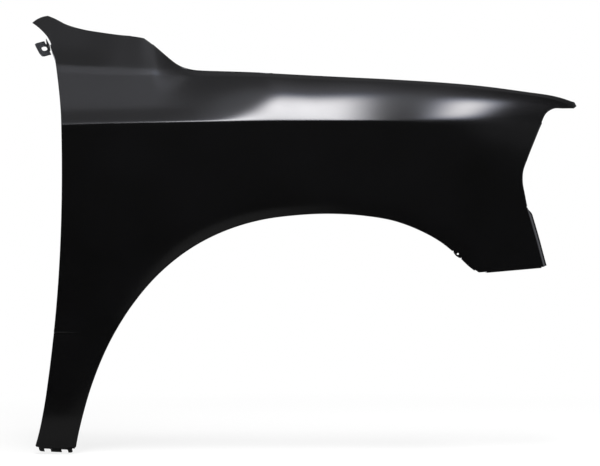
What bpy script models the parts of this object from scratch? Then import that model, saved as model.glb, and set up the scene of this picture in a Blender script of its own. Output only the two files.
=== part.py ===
# Right-hand front fender of a full-size pickup, one steel stamping in black primer,
# with one small folded bracket spot-welded to its upper rear edge.
# +X is the front of the vehicle, +Z is up, the outer face looks toward -Y.
import math

import bmesh
import bpy
import numpy as np
from mathutils import Matrix, Vector

# Overall sizes in metres
PANEL_LENGTH = 1.418
PANEL_HEIGHT = 1.112
SHEET_THICKNESS = 0.0008
FOLD_RADIUS = 0.0028
MERGE_GAP = 0.00002
SLOPE_PROBE = 0.0004

# Side surface: slow bends in plan and in section
WIDEST_LENGTH_SHARE = 0.539
REAR_TURN_DEPTH = 0.008
REAR_TURN_SHARE = 0.462
FRONT_TURN_DEPTH = 0.075
FRONT_TURN_SHARE = 0.395
FRONT_TURN_POWER = 2.6
WIDEST_HEIGHT_SHARE = 0.538
SIDE_BEND_DEPTH = 0.033
SIDE_BEND_SHARE = 0.315
FOOT_TURN_SHARE = 0.0747
FOOT_TURN_RADIUS = 0.222

# Character line and the shoulder above it
CREASE_HEIGHT_SHARE = 0.7375
CREASE_REAR_DROP = 0.0095
CREASE_FRONT_DROP = 0.016
CREASE_DROP_POWER = 2.5
CREASE_SOFTNESS = 0.003
CREASE_FRONT_SOFTNESS = 0.050
CREASE_FADE_START_SHARE = 0.638
CREASE_FADE_RUN_SHARE = 0.282
REAR_LEDGE_SLOPE = 1.12
FRONT_LEDGE_SLOPE = 0.43
LEDGE_SLOPE_SHARES = (0.243, 0.455)
LEDGE_STRIP_HEIGHT = 0.035
LEDGE_STRIP_SOFTNESS = 0.010
LEDGE_STRIP_SLOPE = 0.26
LEDGE_STRIP_SHARES = (0.229, 0.335)
BULGE_HEIGHT = 0.085
BULGE_SOFTNESS = 0.045
BULGE_SLOPE = 1.2
BULGE_SHARES = (0.194, 0.525)

# Roll strip along the hood line, and the cowl behind it
STRIP_SLOPE = 1.9
STRIP_SOFTNESS = 0.002
STRIP_START_SHARES = (0.243, 0.335)
STRIP_GROWTH_SHARES = (0.314, 0.582)
STRIP_FIRST_SHARE = 0.3
BAND_SLOPE = 0.10
BAND_SHARES = (0.264, 0.321)
COWL_SLOPE = 0.27
COWL_SOFTNESS = 0.005
COWL_SHARES = (0.264, 0.317)
WEDGE_SLOPE = 0.35
WEDGE_HEIGHT = 0.034
WEDGE_SOFTNESS = 0.016
WEDGE_SHARES = (0.102, 0.166)

# Shallow groove across the leg
GROOVE_TOP_SHARE = 0.2618
GROOVE_STEP_HEIGHT = 0.004
GROOVE_HEIGHT = 0.025
GROOVE_DEPTH = 0.0018
GROOVE_SHARES = (0.075, 0.122)

# Lip that rolls in along the wheel arch
LIP_WIDTH = 0.045
LIP_SLOPE = 0.20

# Outlines as (length share, height share), clockwise round the panel as seen from outside
REAR_EDGE_SHARES = (
    (0.0274, -0.0018), (0.0364, 0.0374), (0.0440, 0.0833), (0.0537, 0.1629), (0.0616, 0.2423),
    (0.0688, 0.3327), (0.0739, 0.4230), (0.0770, 0.5176), (0.0780, 0.6145), (0.0766, 0.7298))
SHOULDER_REAR_SHARES = ((0.0766, 0.7298), (0.0709, 0.7776), (0.0654, 0.8163), (0.0591, 0.8554))
COWL_REAR_SHARES = (
    (0.0560, 0.8751), (0.0512, 0.8961), (0.0436, 0.9171), (0.0326, 0.9432), (0.0213, 0.9595),
    (0.0000, 0.9815))
COWL_TOP_SHARES = (
    (0.0263, 0.9996), (0.0391, 0.9927), (0.0629, 0.9765), (0.0900, 0.9651), (0.1282, 0.9552),
    (0.1660, 0.9475), (0.1939, 0.9438), (0.2103, 0.9399))
COWL_DROP_SHARES = (
    (0.2103, 0.9399), (0.2216, 0.9294), (0.2407, 0.9089), (0.2595, 0.8882), (0.2784, 0.8697),
    (0.2971, 0.8613), (0.3155, 0.8589))
HOOD_LINE_SHARES = (
    (0.3155, 0.8589), (0.3703, 0.8556), (0.4609, 0.8501), (0.5692, 0.8428), (0.6772, 0.8353),
    (0.7494, 0.8298), (0.8222, 0.8226), (0.8953, 0.8116), (0.9713, 0.7984), (0.9986, 0.7890))
BEAK_SHARES = (
    (0.9252, 0.7239), (0.9292, 0.7342), (0.9405, 0.7592), (0.9550, 0.7702), (0.9730, 0.7712),
    (0.9935, 0.7722))
FRONT_EDGE_SHARES = (
    (0.9252, 0.7239), (0.9159, 0.6968), (0.9023, 0.6553), (0.8934, 0.6230), (0.8928, 0.5972),
    (0.8964, 0.5720), (0.9005, 0.5460), (0.9102, 0.5044), (0.9198, 0.4634), (0.9272, 0.4293),
    (0.9322, 0.4068))
ARCH_SHARES = (
    (0.0958, -0.0060), (0.1062, 0.0518), (0.1278, 0.1456), (0.1602, 0.2419), (0.1995, 0.3229),
    (0.2492, 0.3961), (0.3060, 0.4528), (0.3644, 0.4905), (0.4262, 0.5144), (0.4881, 0.5254),
    (0.5499, 0.5290), (0.6118, 0.5243), (0.6649, 0.5124), (0.7093, 0.4914), (0.7450, 0.4667),
    (0.7808, 0.4300), (0.7985, 0.4090), (0.8145, 0.3945))
STRIP_FOOT_SHARES = (
    (0.0591, 0.8554), (0.1542, 0.8486), (0.2445, 0.8462), (0.3164, 0.8459), (0.4072, 0.8428),
    (0.4970, 0.8382), (0.5687, 0.8342), (0.6404, 0.8307), (0.7121, 0.8259), (0.7842, 0.8190),
    (0.8568, 0.8100), (0.9120, 0.8014), (0.9678, 0.7880), (0.9935, 0.7722))
STRIP_MIDDLE_SHARES = (
    (0.0560, 0.8751), (0.1531, 0.8675), (0.2438, 0.8622), (0.2887, 0.8600), (0.3160, 0.8550),
    (0.4070, 0.8501), (0.4970, 0.8440), (0.5688, 0.8388), (0.6405, 0.8344), (0.7123, 0.8294),
    (0.7844, 0.8225), (0.8571, 0.8132), (0.9123, 0.8049), (0.9682, 0.7922), (1.0000, 0.7782))

# Where the columns of the net turn from one stretch of the outline to the next
LEG_SPLIT_SHARE = 0.297
ARCH_REAR_SPLIT_SHARE = 0.434
ARCH_FRONT_SPLIT_SHARE = 0.718
CREASE_KNOT_SHARES = (0.0766, 0.088, 0.2116, 0.3155, 0.9252)
STRIP_FOOT_KNOT_SHARES = (0.0591, 0.074, 0.2116, 0.3155, 0.9935)
STRIP_MIDDLE_KNOT_SHARES = (0.0560, 0.072, 0.2116, 0.3155, 1.0000)
TIP_COLUMNS = 2
COWL_COLUMNS = 8
DROP_COLUMNS = 6
LEG_COLUMNS = 11
FRONT_COLUMN_SHARES = (
    0.111, 0.222, 0.333, 0.420, 0.495, 0.530, 0.577, 0.623, 0.670, 0.705, 0.780, 0.853, 0.927,
    1.0)
FOOT_COLUMN_SHARES = (0.0, 0.1, 0.4, 0.7, 1.0)
CURVE_STEPS = 12
ARCH_ROWS = (0.0, 0.013, 0.029, 0.045)
OUTER_ROWS = (0.040, 0.015, 0.0045, 0.0)
BODY_ROW_SHARES = (0.33, 0.67)
ROW_FULL_WIDTH = 0.160
SHOULDER_ROW_SHARES = (0.0, 0.04, 0.13, 0.22, 0.32, 0.5, 0.7, 0.88, 1.0)
STRIP_ROW_SHARES = (0.0, 0.25, 1.0)
COWL_ROW_SHARES = (0.0, 0.16, 0.45, 1.0)
SIDE_PULL_POWER = 3.0

# Flanges folded in from the edges
FOLD_STEPS = 3
REAR_FLANGE_WIDTH = 0.014
COWL_FLANGE_WIDTH = 0.014
DROP_FLANGE_WIDTH = 0.009
FRONT_FLANGE_WIDTH = 0.014
BOTTOM_FLANGE_WIDTH = 0.020
ARCH_FLANGE_WIDTH = 0.020
FOOT_FLANGE_WIDTH = 0.028
FOOT_FOLD_ANGLE = math.radians(40.0)
SQUARE_FOLD = math.radians(90.0)
FLANGE_END_RADIUS = 0.008
JOGGLE_DROP = 0.0018
JOGGLE_RUN = 0.003
JOGGLE_WIDTH = 0.0075
JOGGLE_GROWTH = 0.035
JOGGLE_TOP_SHARE = 0.546
JOGGLE_END_SHARE = 0.15
EAR_HEIGHT = 0.0050
EAR_SHARES = (0.7691, 0.7827)
EAR_END_SHARE = 0.15

# Stepped mounting ledge under the hood line
HOOD_FOLD_RADIUS = 0.004
LEDGE_FOLD_RADIUS = 0.003
LEDGE_DROP = 0.022
LEDGE_WIDTH = 0.030
PAD_LENGTH = 0.070
PAD_CENTRE_SHARES = (0.36, 0.47, 0.60, 0.73, 0.86)
LEDGE_END_SHARE = 0.925
HOOD_COLUMN_SHARES = (
    0.3155, 0.3353, 0.36, 0.3847, 0.415, 0.4453, 0.47, 0.4947, 0.53, 0.5753, 0.60, 0.6247,
    0.665, 0.7053, 0.73, 0.7547, 0.795, 0.8353, 0.86, 0.8847, 0.9100, 0.935, 0.96, 0.982,
    0.9986)
NOSE_WALL_HEIGHT = 0.008

# Holes
HOLE_SIDES = 16
CUTTER_LENGTH = 0.012
PAD_HOLE_DIAMETER = 0.009
MAIN_PAD_HOLE_OFFSET = 0.022
LINER_HOLE_DIAMETER = 0.007
LINER_HOLE_SHARES = (0.07, 0.20, 0.33, 0.47, 0.61, 0.74, 0.965)
REAR_HOLE_DIAMETER = 0.0065
REAR_HOLE_SHARES = (0.12, 0.45, 0.66)
EAR_HOLE_DIAMETER = 0.0048
EAR_HOLE_INSET = 0.0015
FOOT_SLOT_WIDTH = 0.0165
FOOT_SLOT_SHARES = (0.268, 0.684)
FOOT_SLOT_DEPTH = 0.022
FOOT_SLOT_CORNER = 0.3
BOTTOM_HOLE_DIAMETER = 0.009
BOTTOM_HOLE_SHARES = (0.25, 0.72)

# Bracket at the upper rear edge
BRACKET_THICKNESS = 0.0015
BRACKET_CENTRE_SHARE = 0.936
BRACKET_GAP = 0.0014
BRACKET_LEG_START = 0.0045
BRACKET_LEG_WIDTH = 0.016
BRACKET_FOLD_RADIUS = 0.003
BRACKET_LEG_LENGTH = 0.031
BRACKET_TAB_LENGTH = 0.062
BRACKET_TAB_WIDTH = 0.0273
BRACKET_TAB_SHARES = (0.88, 0.99, 1.0, 1.0, 0.98)
BRACKET_HOLE_WIDTH = 0.014
BRACKET_HOLE_LENGTH = 0.020
BRACKET_HOLE_OFFSET = 0.009

# Primer
PRIMER_COLOUR = (0.0044, 0.0044, 0.0048, 1.0)
PRIMER_ROUGHNESS = 0.28
BRACKET_COLOUR = (0.012, 0.0125, 0.012, 1.0)
BRACKET_ROUGHNESS = 0.45


def clear_scene():
    for item in list(bpy.data.objects):
        bpy.data.objects.remove(item, do_unlink=True)


def make_material(name, colour, roughness):
    material = bpy.data.materials.new(name)
    material.use_nodes = True
    shader = material.node_tree.nodes["Principled BSDF"]
    shader.inputs["Base Color"].default_value = colour
    shader.inputs["Roughness"].default_value = roughness
    return material


# A point or outline given in shares, in metres
def real(shares):
    return np.array(shares, float) * np.array((PANEL_LENGTH, PANEL_HEIGHT))


# Smooth curve through points: cubic pieces whose end directions come from the neighbours
def smooth_curve(points):
    gaps = np.sqrt(np.sum(np.diff(points, axis=0) ** 2, axis=1))
    chord = np.concatenate(((0.0,), np.cumsum(gaps)))
    slopes = np.gradient(points, chord, axis=0, edge_order=2)
    pieces = []
    for index in range(len(points) - 1):
        t = np.linspace(0.0, 1.0, CURVE_STEPS, endpoint=False)[:, None]
        length = gaps[index]
        pieces.append(
            points[index] * (2 * t ** 3 - 3 * t ** 2 + 1)
            + points[index + 1] * (3 * t ** 2 - 2 * t ** 3)
            + slopes[index] * length * (t ** 3 - 2 * t ** 2 + t)
            + slopes[index + 1] * length * (t ** 3 - t ** 2))
    pieces.append(points[-1:])
    return np.concatenate(pieces)


# Points of a curve at the given values of one of its coordinates
def points_at(curve, axis, values):
    order = np.argsort(curve[:, axis])
    other = np.interp(values, curve[order, axis], curve[order, 1 - axis])
    pair = (values, other) if axis == 0 else (other, values)
    return np.stack(pair, axis=1)


# Points of a curve at the given shares of its length
def points_along(curve, shares):
    gaps = np.sqrt(np.sum(np.diff(curve, axis=0) ** 2, axis=1))
    run = np.concatenate(((0.0,), np.cumsum(gaps))) / np.sum(gaps)
    across = np.interp(shares, run, curve[:, 0])
    return np.stack((across, np.interp(shares, run, curve[:, 1])), axis=1)


def ease(start, end, values):
    t = np.clip((values - start) / (end - start), 0.0, 1.0)
    return t * t * (3.0 - 2.0 * t)


# Rounded corner: zero on one side, distance on the other
def hinge(distance, softness):
    return 0.5 * (distance + np.sqrt(distance * distance + softness * softness))


STRIP_FOOT = smooth_curve(real(STRIP_FOOT_SHARES))
STRIP_MIDDLE = smooth_curve(real(STRIP_MIDDLE_SHARES))


def crease_height(x):
    rear = np.maximum(WIDEST_LENGTH_SHARE - x / PANEL_LENGTH, 0.0) / REAR_TURN_SHARE
    front = np.maximum(x / PANEL_LENGTH - WIDEST_LENGTH_SHARE, 0.0) / FRONT_TURN_SHARE
    drop = CREASE_REAR_DROP * rear ** 2 + CREASE_FRONT_DROP * front ** CREASE_DROP_POWER
    return CREASE_HEIGHT_SHARE * PANEL_HEIGHT - drop


# Depth of the outer face inward from its widest point, for any place on the side view
def skin_depth(x, z):
    along = x / PANEL_LENGTH
    rear = np.maximum(WIDEST_LENGTH_SHARE - along, 0.0) / REAR_TURN_SHARE
    front = np.maximum(along - WIDEST_LENGTH_SHARE, 0.0) / FRONT_TURN_SHARE
    depth = REAR_TURN_DEPTH * rear ** 2 + FRONT_TURN_DEPTH * front ** FRONT_TURN_POWER
    level = (z / PANEL_HEIGHT - WIDEST_HEIGHT_SHARE) / SIDE_BEND_SHARE
    depth = depth + SIDE_BEND_DEPTH * (np.sqrt(1.0 + level ** 2) - 1.0)
    below = np.maximum(FOOT_TURN_SHARE * PANEL_HEIGHT - z, 0.0)
    depth = depth + 0.5 * below ** 2 / FOOT_TURN_RADIUS
    above = z - crease_height(x)
    fade = np.maximum(along - CREASE_FADE_START_SHARE, 0.0) / CREASE_FADE_RUN_SHARE
    softness = CREASE_SOFTNESS + CREASE_FRONT_SOFTNESS * fade ** 2
    forward = ease(LEDGE_SLOPE_SHARES[0], LEDGE_SLOPE_SHARES[1], along)
    slope = REAR_LEDGE_SLOPE + (FRONT_LEDGE_SLOPE - REAR_LEDGE_SLOPE) * forward
    depth = depth + slope * hinge(above, softness)
    strip = 1.0 - ease(LEDGE_STRIP_SHARES[0], LEDGE_STRIP_SHARES[1], along)
    depth = depth - LEDGE_STRIP_SLOPE * strip * hinge(above - LEDGE_STRIP_HEIGHT, LEDGE_STRIP_SOFTNESS)
    bulge = ease(BULGE_SHARES[0], BULGE_SHARES[1], along)
    depth = depth + BULGE_SLOPE * bulge * hinge(above - BULGE_HEIGHT, BULGE_SOFTNESS)
    over_foot = z - np.interp(x, STRIP_FOOT[:, 0], STRIP_FOOT[:, 1])
    over_middle = z - np.interp(x, STRIP_MIDDLE[:, 0], STRIP_MIDDLE[:, 1])
    growth = ease(STRIP_GROWTH_SHARES[0], STRIP_GROWTH_SHARES[1], along)
    roll = STRIP_SLOPE * ease(STRIP_START_SHARES[0], STRIP_START_SHARES[1], along)
    roll = roll * (STRIP_FIRST_SHARE + (1.0 - STRIP_FIRST_SHARE) * growth)
    roll = roll - BAND_SLOPE * (1.0 - ease(BAND_SHARES[0], BAND_SHARES[1], along))
    depth = depth + roll * hinge(over_foot, STRIP_SOFTNESS)
    cowl = COWL_SLOPE * (1.0 - ease(COWL_SHARES[0], COWL_SHARES[1], along))
    depth = depth + cowl * hinge(over_middle, COWL_SOFTNESS)
    wedge = WEDGE_SLOPE * (1.0 - ease(WEDGE_SHARES[0], WEDGE_SHARES[1], along))
    depth = depth + wedge * hinge(over_middle, COWL_SOFTNESS)
    depth = depth - wedge * hinge(over_middle - WEDGE_HEIGHT, WEDGE_SOFTNESS)
    under = GROOVE_TOP_SHARE * PANEL_HEIGHT - z
    step_in = np.clip(under / GROOVE_STEP_HEIGHT, 0.0, 1.0)
    run_out = np.clip((GROOVE_HEIGHT - under) / (GROOVE_HEIGHT - GROOVE_STEP_HEIGHT), 0.0, 1.0)
    groove = 1.0 - ease(GROOVE_SHARES[0], GROOVE_SHARES[1], along)
    return depth + GROOVE_DEPTH * groove * np.minimum(step_in, run_out)


# Lip that rolls in over its width, by distance from the arch edge
def lip_depth(distance):
    inside = np.maximum(LIP_WIDTH - distance, 0.0)
    return 0.5 * LIP_SLOPE * inside ** 2 / LIP_WIDTH


# Net of points between a lower and an upper line, its two ends bent to the side curves
def ruled_net(lower, upper, rows, left=None, right=None):
    columns = len(lower)
    net = lower[:, None] * (1.0 - rows[:, :, None]) + upper[:, None] * rows[:, :, None]
    share = np.linspace(0.0, 1.0, columns)
    for side, weight, index in ((left, 1.0 - share, 0), (right, share, columns - 1)):
        if side is not None:
            shift = points_along(side, rows[index]) - net[index]
            net = net + shift[None] * (weight ** SIDE_PULL_POWER)[:, None, None]
    return net


def lift(net, roll_from=None):
    depth = skin_depth(net[..., 0], net[..., 1])
    if roll_from is not None:
        distance = np.sqrt(np.sum((net - roll_from[:, None]) ** 2, axis=2))
        depth = depth + lip_depth(distance)
    return np.stack((net[..., 0], depth, net[..., 1]), axis=-1)


# Outward direction of the face at points of its outline
def face_normals(places, roll_toward=None):
    x = places[:, 0]
    z = places[:, 1]
    slope_x = (skin_depth(x + SLOPE_PROBE, z) - skin_depth(x - SLOPE_PROBE, z)) / (2 * SLOPE_PROBE)
    slope_z = (skin_depth(x, z + SLOPE_PROBE) - skin_depth(x, z - SLOPE_PROBE)) / (2 * SLOPE_PROBE)
    if roll_toward is not None:
        heading = roll_toward - places
        heading = heading / np.sqrt(np.sum(heading ** 2, axis=1))[:, None]
        slope_x = slope_x - LIP_SLOPE * heading[:, 0]
        slope_z = slope_z - LIP_SLOPE * heading[:, 1]
    normals = np.stack((slope_x, -np.ones(len(x)), slope_z), axis=1)
    return normals / np.sqrt(np.sum(normals ** 2, axis=1))[:, None]


def spread(knots, counts):
    pieces = [np.linspace(a, b, count, endpoint=False) for a, b, count in zip(knots, knots[1:], counts)]
    return np.concatenate(pieces + [np.array(knots[-1:])])


# Columns along the crease, the two strip lines and the top edge
def top_lines():
    counts = (TIP_COLUMNS, COWL_COLUMNS, DROP_COLUMNS)
    hood = np.array(HOOD_COLUMN_SHARES)
    hood_run = (hood - hood[0]) / (hood[-1] - hood[0])
    lines = []
    for knots, curve in ((CREASE_KNOT_SHARES, None), (STRIP_FOOT_KNOT_SHARES, STRIP_FOOT),
                         (STRIP_MIDDLE_KNOT_SHARES, STRIP_MIDDLE)):
        rear = spread(knots[:4], counts)
        front = knots[3] + (knots[4] - knots[3]) * hood_run[1:]
        x = np.concatenate((rear, front)) * PANEL_LENGTH
        if curve is None:
            lines.append(np.stack((x, crease_height(x)), axis=1))
        else:
            lines.append(points_at(curve, 0, x))
    tip = real((COWL_REAR_SHARES[-1], COWL_TOP_SHARES[0]))
    stretches = []
    cowl = smooth_curve(real(COWL_TOP_SHARES))
    drop = smooth_curve(real(COWL_DROP_SHARES))
    for curve, count in zip((tip, cowl, drop), counts):
        stretches.append(points_along(curve, np.linspace(0.0, 1.0, count, endpoint=False)))
    stretches.append(points_at(smooth_curve(real(HOOD_LINE_SHARES)), 0, hood * PANEL_LENGTH))
    lines.append(np.concatenate(stretches))
    return lines


# Columns of the side below the crease: up the leg, along the crease, down the front
def body_lines(crease):
    rear = smooth_curve(real(REAR_EDGE_SHARES))
    front = smooth_curve(real(FRONT_EDGE_SHARES))
    arch = smooth_curve(real(ARCH_SHARES))
    rear[-1] = crease[0]
    front[0] = crease[-1]
    split = LEG_SPLIT_SHARE * PANEL_HEIGHT
    groove = GROOVE_TOP_SHARE * PANEL_HEIGHT
    turn = FOOT_TURN_SHARE * PANEL_HEIGHT
    low_levels = np.concatenate((
        arch[0, 1] + (turn - arch[0, 1]) * np.array(FOOT_COLUMN_SHARES),
        np.linspace(turn, groove - GROOVE_HEIGHT, 5)[1:],
        (groove - GROOVE_STEP_HEIGHT, groove, split)))
    outer_low = low_levels.copy()
    outer_low[0] = rear[0, 1]
    steps = np.linspace(0.0, 1.0, LEG_COLUMNS + 1)[1:]
    outer_leg = np.concatenate((outer_low, split + (crease[0, 1] - split) * steps))
    outer = [points_at(rear, 1, outer_leg)]
    peak = np.argmax(arch[:, 1])
    rising = arch[:peak + 1]
    rear_level = ARCH_REAR_SPLIT_SHARE * PANEL_HEIGHT
    inner_leg = np.concatenate((low_levels, split + (rear_level - split) * steps))
    inner = [points_at(rising, 1, inner_leg)]
    start = inner[0][-1, 0]
    stop = ARCH_FRONT_SPLIT_SHARE * PANEL_LENGTH
    reach = (crease[:, 0] - crease[0, 0]) / (crease[-1, 0] - crease[0, 0])
    inner.append(points_at(arch, 0, start + (stop - start) * reach[1:]))
    outer.append(crease[1:])
    front_steps = np.array(FRONT_COLUMN_SHARES)
    inner.append(points_at(arch, 0, stop + (arch[-1, 0] - stop) * front_steps))
    outer.append(points_along(front, front_steps))
    return np.concatenate(inner), np.concatenate(outer), len(low_levels) - 1 + LEG_COLUMNS


def body_rows(inner, outer):
    width = np.sqrt(np.sum((outer - inner) ** 2, axis=1))[:, None]
    scale = np.minimum(width / ROW_FULL_WIDTH, 1.0)
    near = np.array(ARCH_ROWS)[None] * scale / width
    far = 1.0 - np.array(OUTER_ROWS)[None] * scale / width
    middle = near[:, -1:] + (far[:, :1] - near[:, -1:]) * np.array(BODY_ROW_SHARES)[None]
    return np.concatenate((near, middle, far), axis=1)


class Sheet:
    def __init__(self):
        self.points = []
        self.faces = []
        self.count = 0

    # Adds a net of points, its columns along the first index
    def add(self, net):
        columns, rows = net.shape[:2]
        index = self.count + np.arange(columns * rows).reshape(columns, rows)
        quads = np.stack((index[:-1, :-1], index[1:, :-1], index[1:, 1:], index[:-1, 1:]), axis=-1)
        self.points.append(net.reshape(-1, 3))
        self.faces.append(quads.reshape(-1, 4))
        self.count += columns * rows

    def build(self, name):
        mesh = bpy.data.meshes.new(name)
        points = np.concatenate(self.points)
        faces = np.concatenate(self.faces)
        mesh.from_pydata(points.tolist(), [], faces.tolist())
        form = bmesh.new()
        form.from_mesh(mesh)
        bmesh.ops.remove_doubles(form, verts=form.verts[:], dist=MERGE_GAP)
        form.to_mesh(mesh)
        form.free()
        for face in mesh.polygons:
            face.use_smooth = True
        part = bpy.data.objects.new(name, mesh)
        bpy.context.scene.collection.objects.link(part)
        return part


# Direction that leaves the sheet at an edge, square to the edge and in the face
def edge_frames(points, normals):
    run = np.gradient(points, axis=0)
    run = run / np.sqrt(np.sum(run ** 2, axis=1))[:, None]
    away = np.cross(normals, run)
    return run, away / np.sqrt(np.sum(away ** 2, axis=1))[:, None]


# Shortens the strip toward its two ends by a round corner
def rounded_widths(points, width):
    gaps = np.sqrt(np.sum(np.diff(points, axis=0) ** 2, axis=1))
    run = np.concatenate(((0.0,), np.cumsum(gaps)))
    near = np.minimum(run, run[-1] - run)
    short = np.maximum(FLANGE_END_RADIUS - near, 0.0)
    round_part = FLANGE_END_RADIUS - np.sqrt(np.maximum(FLANGE_END_RADIUS ** 2 - short ** 2, 0.0))
    return np.maximum(width - round_part, width - FLANGE_END_RADIUS)


# Strip folded in from an edge by an angle about a round corner
def folded_strip(points, normals, width, angle):
    run, away = edge_frames(points, normals)
    angles = np.linspace(0.0, 1.0, FOLD_STEPS + 1)[None] * np.broadcast_to(angle, len(points))[:, None]
    out = FOLD_RADIUS * np.sin(angles)
    into = FOLD_RADIUS * (1.0 - np.cos(angles))
    widths = rounded_widths(points, width)
    last = angles[:, -1]
    out = np.concatenate((out, (out[:, -1] + widths * np.cos(last))[:, None]), axis=1)
    into = np.concatenate((into, (into[:, -1] + widths * np.sin(last))[:, None]), axis=1)
    return points[:, None] + out[..., None] * away[:, None] - into[..., None] * normals[:, None]


# Strip set back by a small step, that grows out of the edge from its upper end
def joggled_strip(points, normals):
    run, away = edge_frames(points, normals)
    gaps = np.sqrt(np.sum(np.diff(points, axis=0) ** 2, axis=1))
    reach = np.concatenate(((0.0,), np.cumsum(gaps)))
    keep = JOGGLE_END_SHARE + (1.0 - JOGGLE_END_SHARE) * ease(0.0, JOGGLE_GROWTH, reach)
    out = keep[:, None] * np.array((0.0, 0.5 * JOGGLE_RUN, JOGGLE_RUN, JOGGLE_RUN + JOGGLE_WIDTH))
    into = keep[:, None] * np.array((0.0, 0.5 * JOGGLE_DROP, JOGGLE_DROP, JOGGLE_DROP))
    return points[:, None] + out[..., None] * away[:, None] - into[..., None] * normals[:, None]


# Small ear that leaves the arch edge in the plane of the face
def ear_strip(points, normals):
    run, away = edge_frames(points, normals)
    share = np.linspace(0.0, 1.0, len(points))
    swell = np.sqrt(np.sin(math.pi * share))
    height = EAR_HEIGHT * (EAR_END_SHARE + (1.0 - EAR_END_SHARE) * swell)
    out = height[:, None] * np.array((0.0, 0.5, 1.0))
    return points[:, None] + out[..., None] * away[:, None]


def pad_levels():
    line = smooth_curve(real(HOOD_LINE_SHARES))
    centres = np.array(PAD_CENTRE_SHARES) * PANEL_LENGTH
    return centres, np.interp(centres, line[:, 0], line[:, 1]) - LEDGE_DROP


# Height of the ledge: level at each pad, sloping between them
def ledge_height(x):
    centres, levels = pad_levels()
    ends = np.stack((centres - 0.5 * PAD_LENGTH, centres + 0.5 * PAD_LENGTH), axis=1).ravel()
    drop = (levels[-1] - levels[0]) / (centres[-1] - centres[0])
    start = levels[0] + drop * (x - ends[0])
    stop = levels[-1] + drop * (x - ends[-1])
    inner = np.interp(x, ends, np.repeat(levels, 2))
    return np.where(x < ends[0], start, np.where(x > ends[-1], stop, inner))


# Wall turned down from the hood line and ledge turned in at its foot
def hood_ledge(points, normals):
    run, away = edge_frames(points, normals)
    level = away.copy()
    level[:, 2] = 0.0
    level = level / np.sqrt(np.sum(level ** 2, axis=1))[:, None]
    rise = np.arcsin(away[:, 2])
    up = np.array((0.0, 0.0, 1.0))
    angles = np.linspace(0.0, 1.0, FOLD_STEPS + 2)[None] * (rise + SQUARE_FOLD)[:, None]
    out = HOOD_FOLD_RADIUS * np.sin(angles)
    into = HOOD_FOLD_RADIUS * (1.0 - np.cos(angles))
    fold = points[:, None] + out[..., None] * away[:, None] - into[..., None] * normals[:, None]
    base = fold[:, -1].copy()
    base[:, 2] = ledge_height(points[:, 0]) + LEDGE_FOLD_RADIUS
    turns = np.linspace(0.0, SQUARE_FOLD, FOLD_STEPS + 1)
    side = LEDGE_FOLD_RADIUS * (1.0 - np.cos(turns))
    down = LEDGE_FOLD_RADIUS * np.sin(turns)
    turn = base[:, None] + side[None, :, None] * level[:, None] - down[None, :, None] * up[None, None]
    widths = rounded_widths(points, LEDGE_WIDTH)
    shelf = turn[:, -1:] + widths[:, None, None] * level[:, None]
    return np.concatenate((fold, turn, shelf), axis=1)


# Closed cutter along a direction: round, straight-sided or with small corner rounding
def add_cutter(form, centre, direction, width, length=0.0, along=None, corner=1.0):
    axis = Vector(direction).normalized()
    side = Vector(along) if along is not None else axis.orthogonal()
    side = (side - axis * side.dot(axis)).normalized()
    cross = axis.cross(side)
    ring = []
    for step in range(HOLE_SIDES):
        turn = 2.0 * math.pi * (step + 0.5) / HOLE_SIDES
        reach = math.copysign(abs(math.cos(turn)) ** corner, math.cos(turn))
        rise = math.copysign(abs(math.sin(turn)) ** corner, math.sin(turn))
        shift = math.copysign(0.5 * length, reach)
        place = side * (0.5 * width * reach + shift) + cross * (0.5 * width * rise)
        ring.append(Vector(centre) + place)
    low = [form.verts.new(point - axis * 0.5 * CUTTER_LENGTH) for point in ring]
    high = [form.verts.new(point + axis * 0.5 * CUTTER_LENGTH) for point in ring]
    form.faces.new(list(reversed(low)))
    form.faces.new(high)
    for step in range(HOLE_SIDES):
        after = (step + 1) % HOLE_SIDES
        form.faces.new((low[step], low[after], high[after], high[step]))


def finish_cutter(form, name, target):
    bmesh.ops.recalc_face_normals(form, faces=form.faces[:])
    mesh = bpy.data.meshes.new(name)
    form.to_mesh(mesh)
    form.free()
    cutter = bpy.data.objects.new(name, mesh)
    bpy.context.scene.collection.objects.link(cutter)
    cutter.hide_render = True
    cutter.display_type = "WIRE"
    cut = target.modifiers.new("holes", "BOOLEAN")
    cut.object = cutter
    cut.operation = "DIFFERENCE"
    cut.solver = "EXACT"
    return cutter


def add_thickness(part, thickness):
    solid = part.modifiers.new("sheet", "SOLIDIFY")
    solid.thickness = thickness
    solid.offset = -1.0
    solid.use_even_offset = True


# Middle of a strip and its directions at a share of its length
def strip_place(net, share, across):
    column = share * (len(net) - 1)
    low = min(int(column), len(net) - 2)
    part = column - low
    inner = net[low, -2] * (1.0 - part) + net[low + 1, -2] * part
    outer = net[low, -1] * (1.0 - part) + net[low + 1, -1] * part
    run = net[low + 1, -2] - net[low, -2]
    place = inner + (outer - inner) * across
    return place, np.cross(run, outer - inner), run, outer - inner


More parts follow.
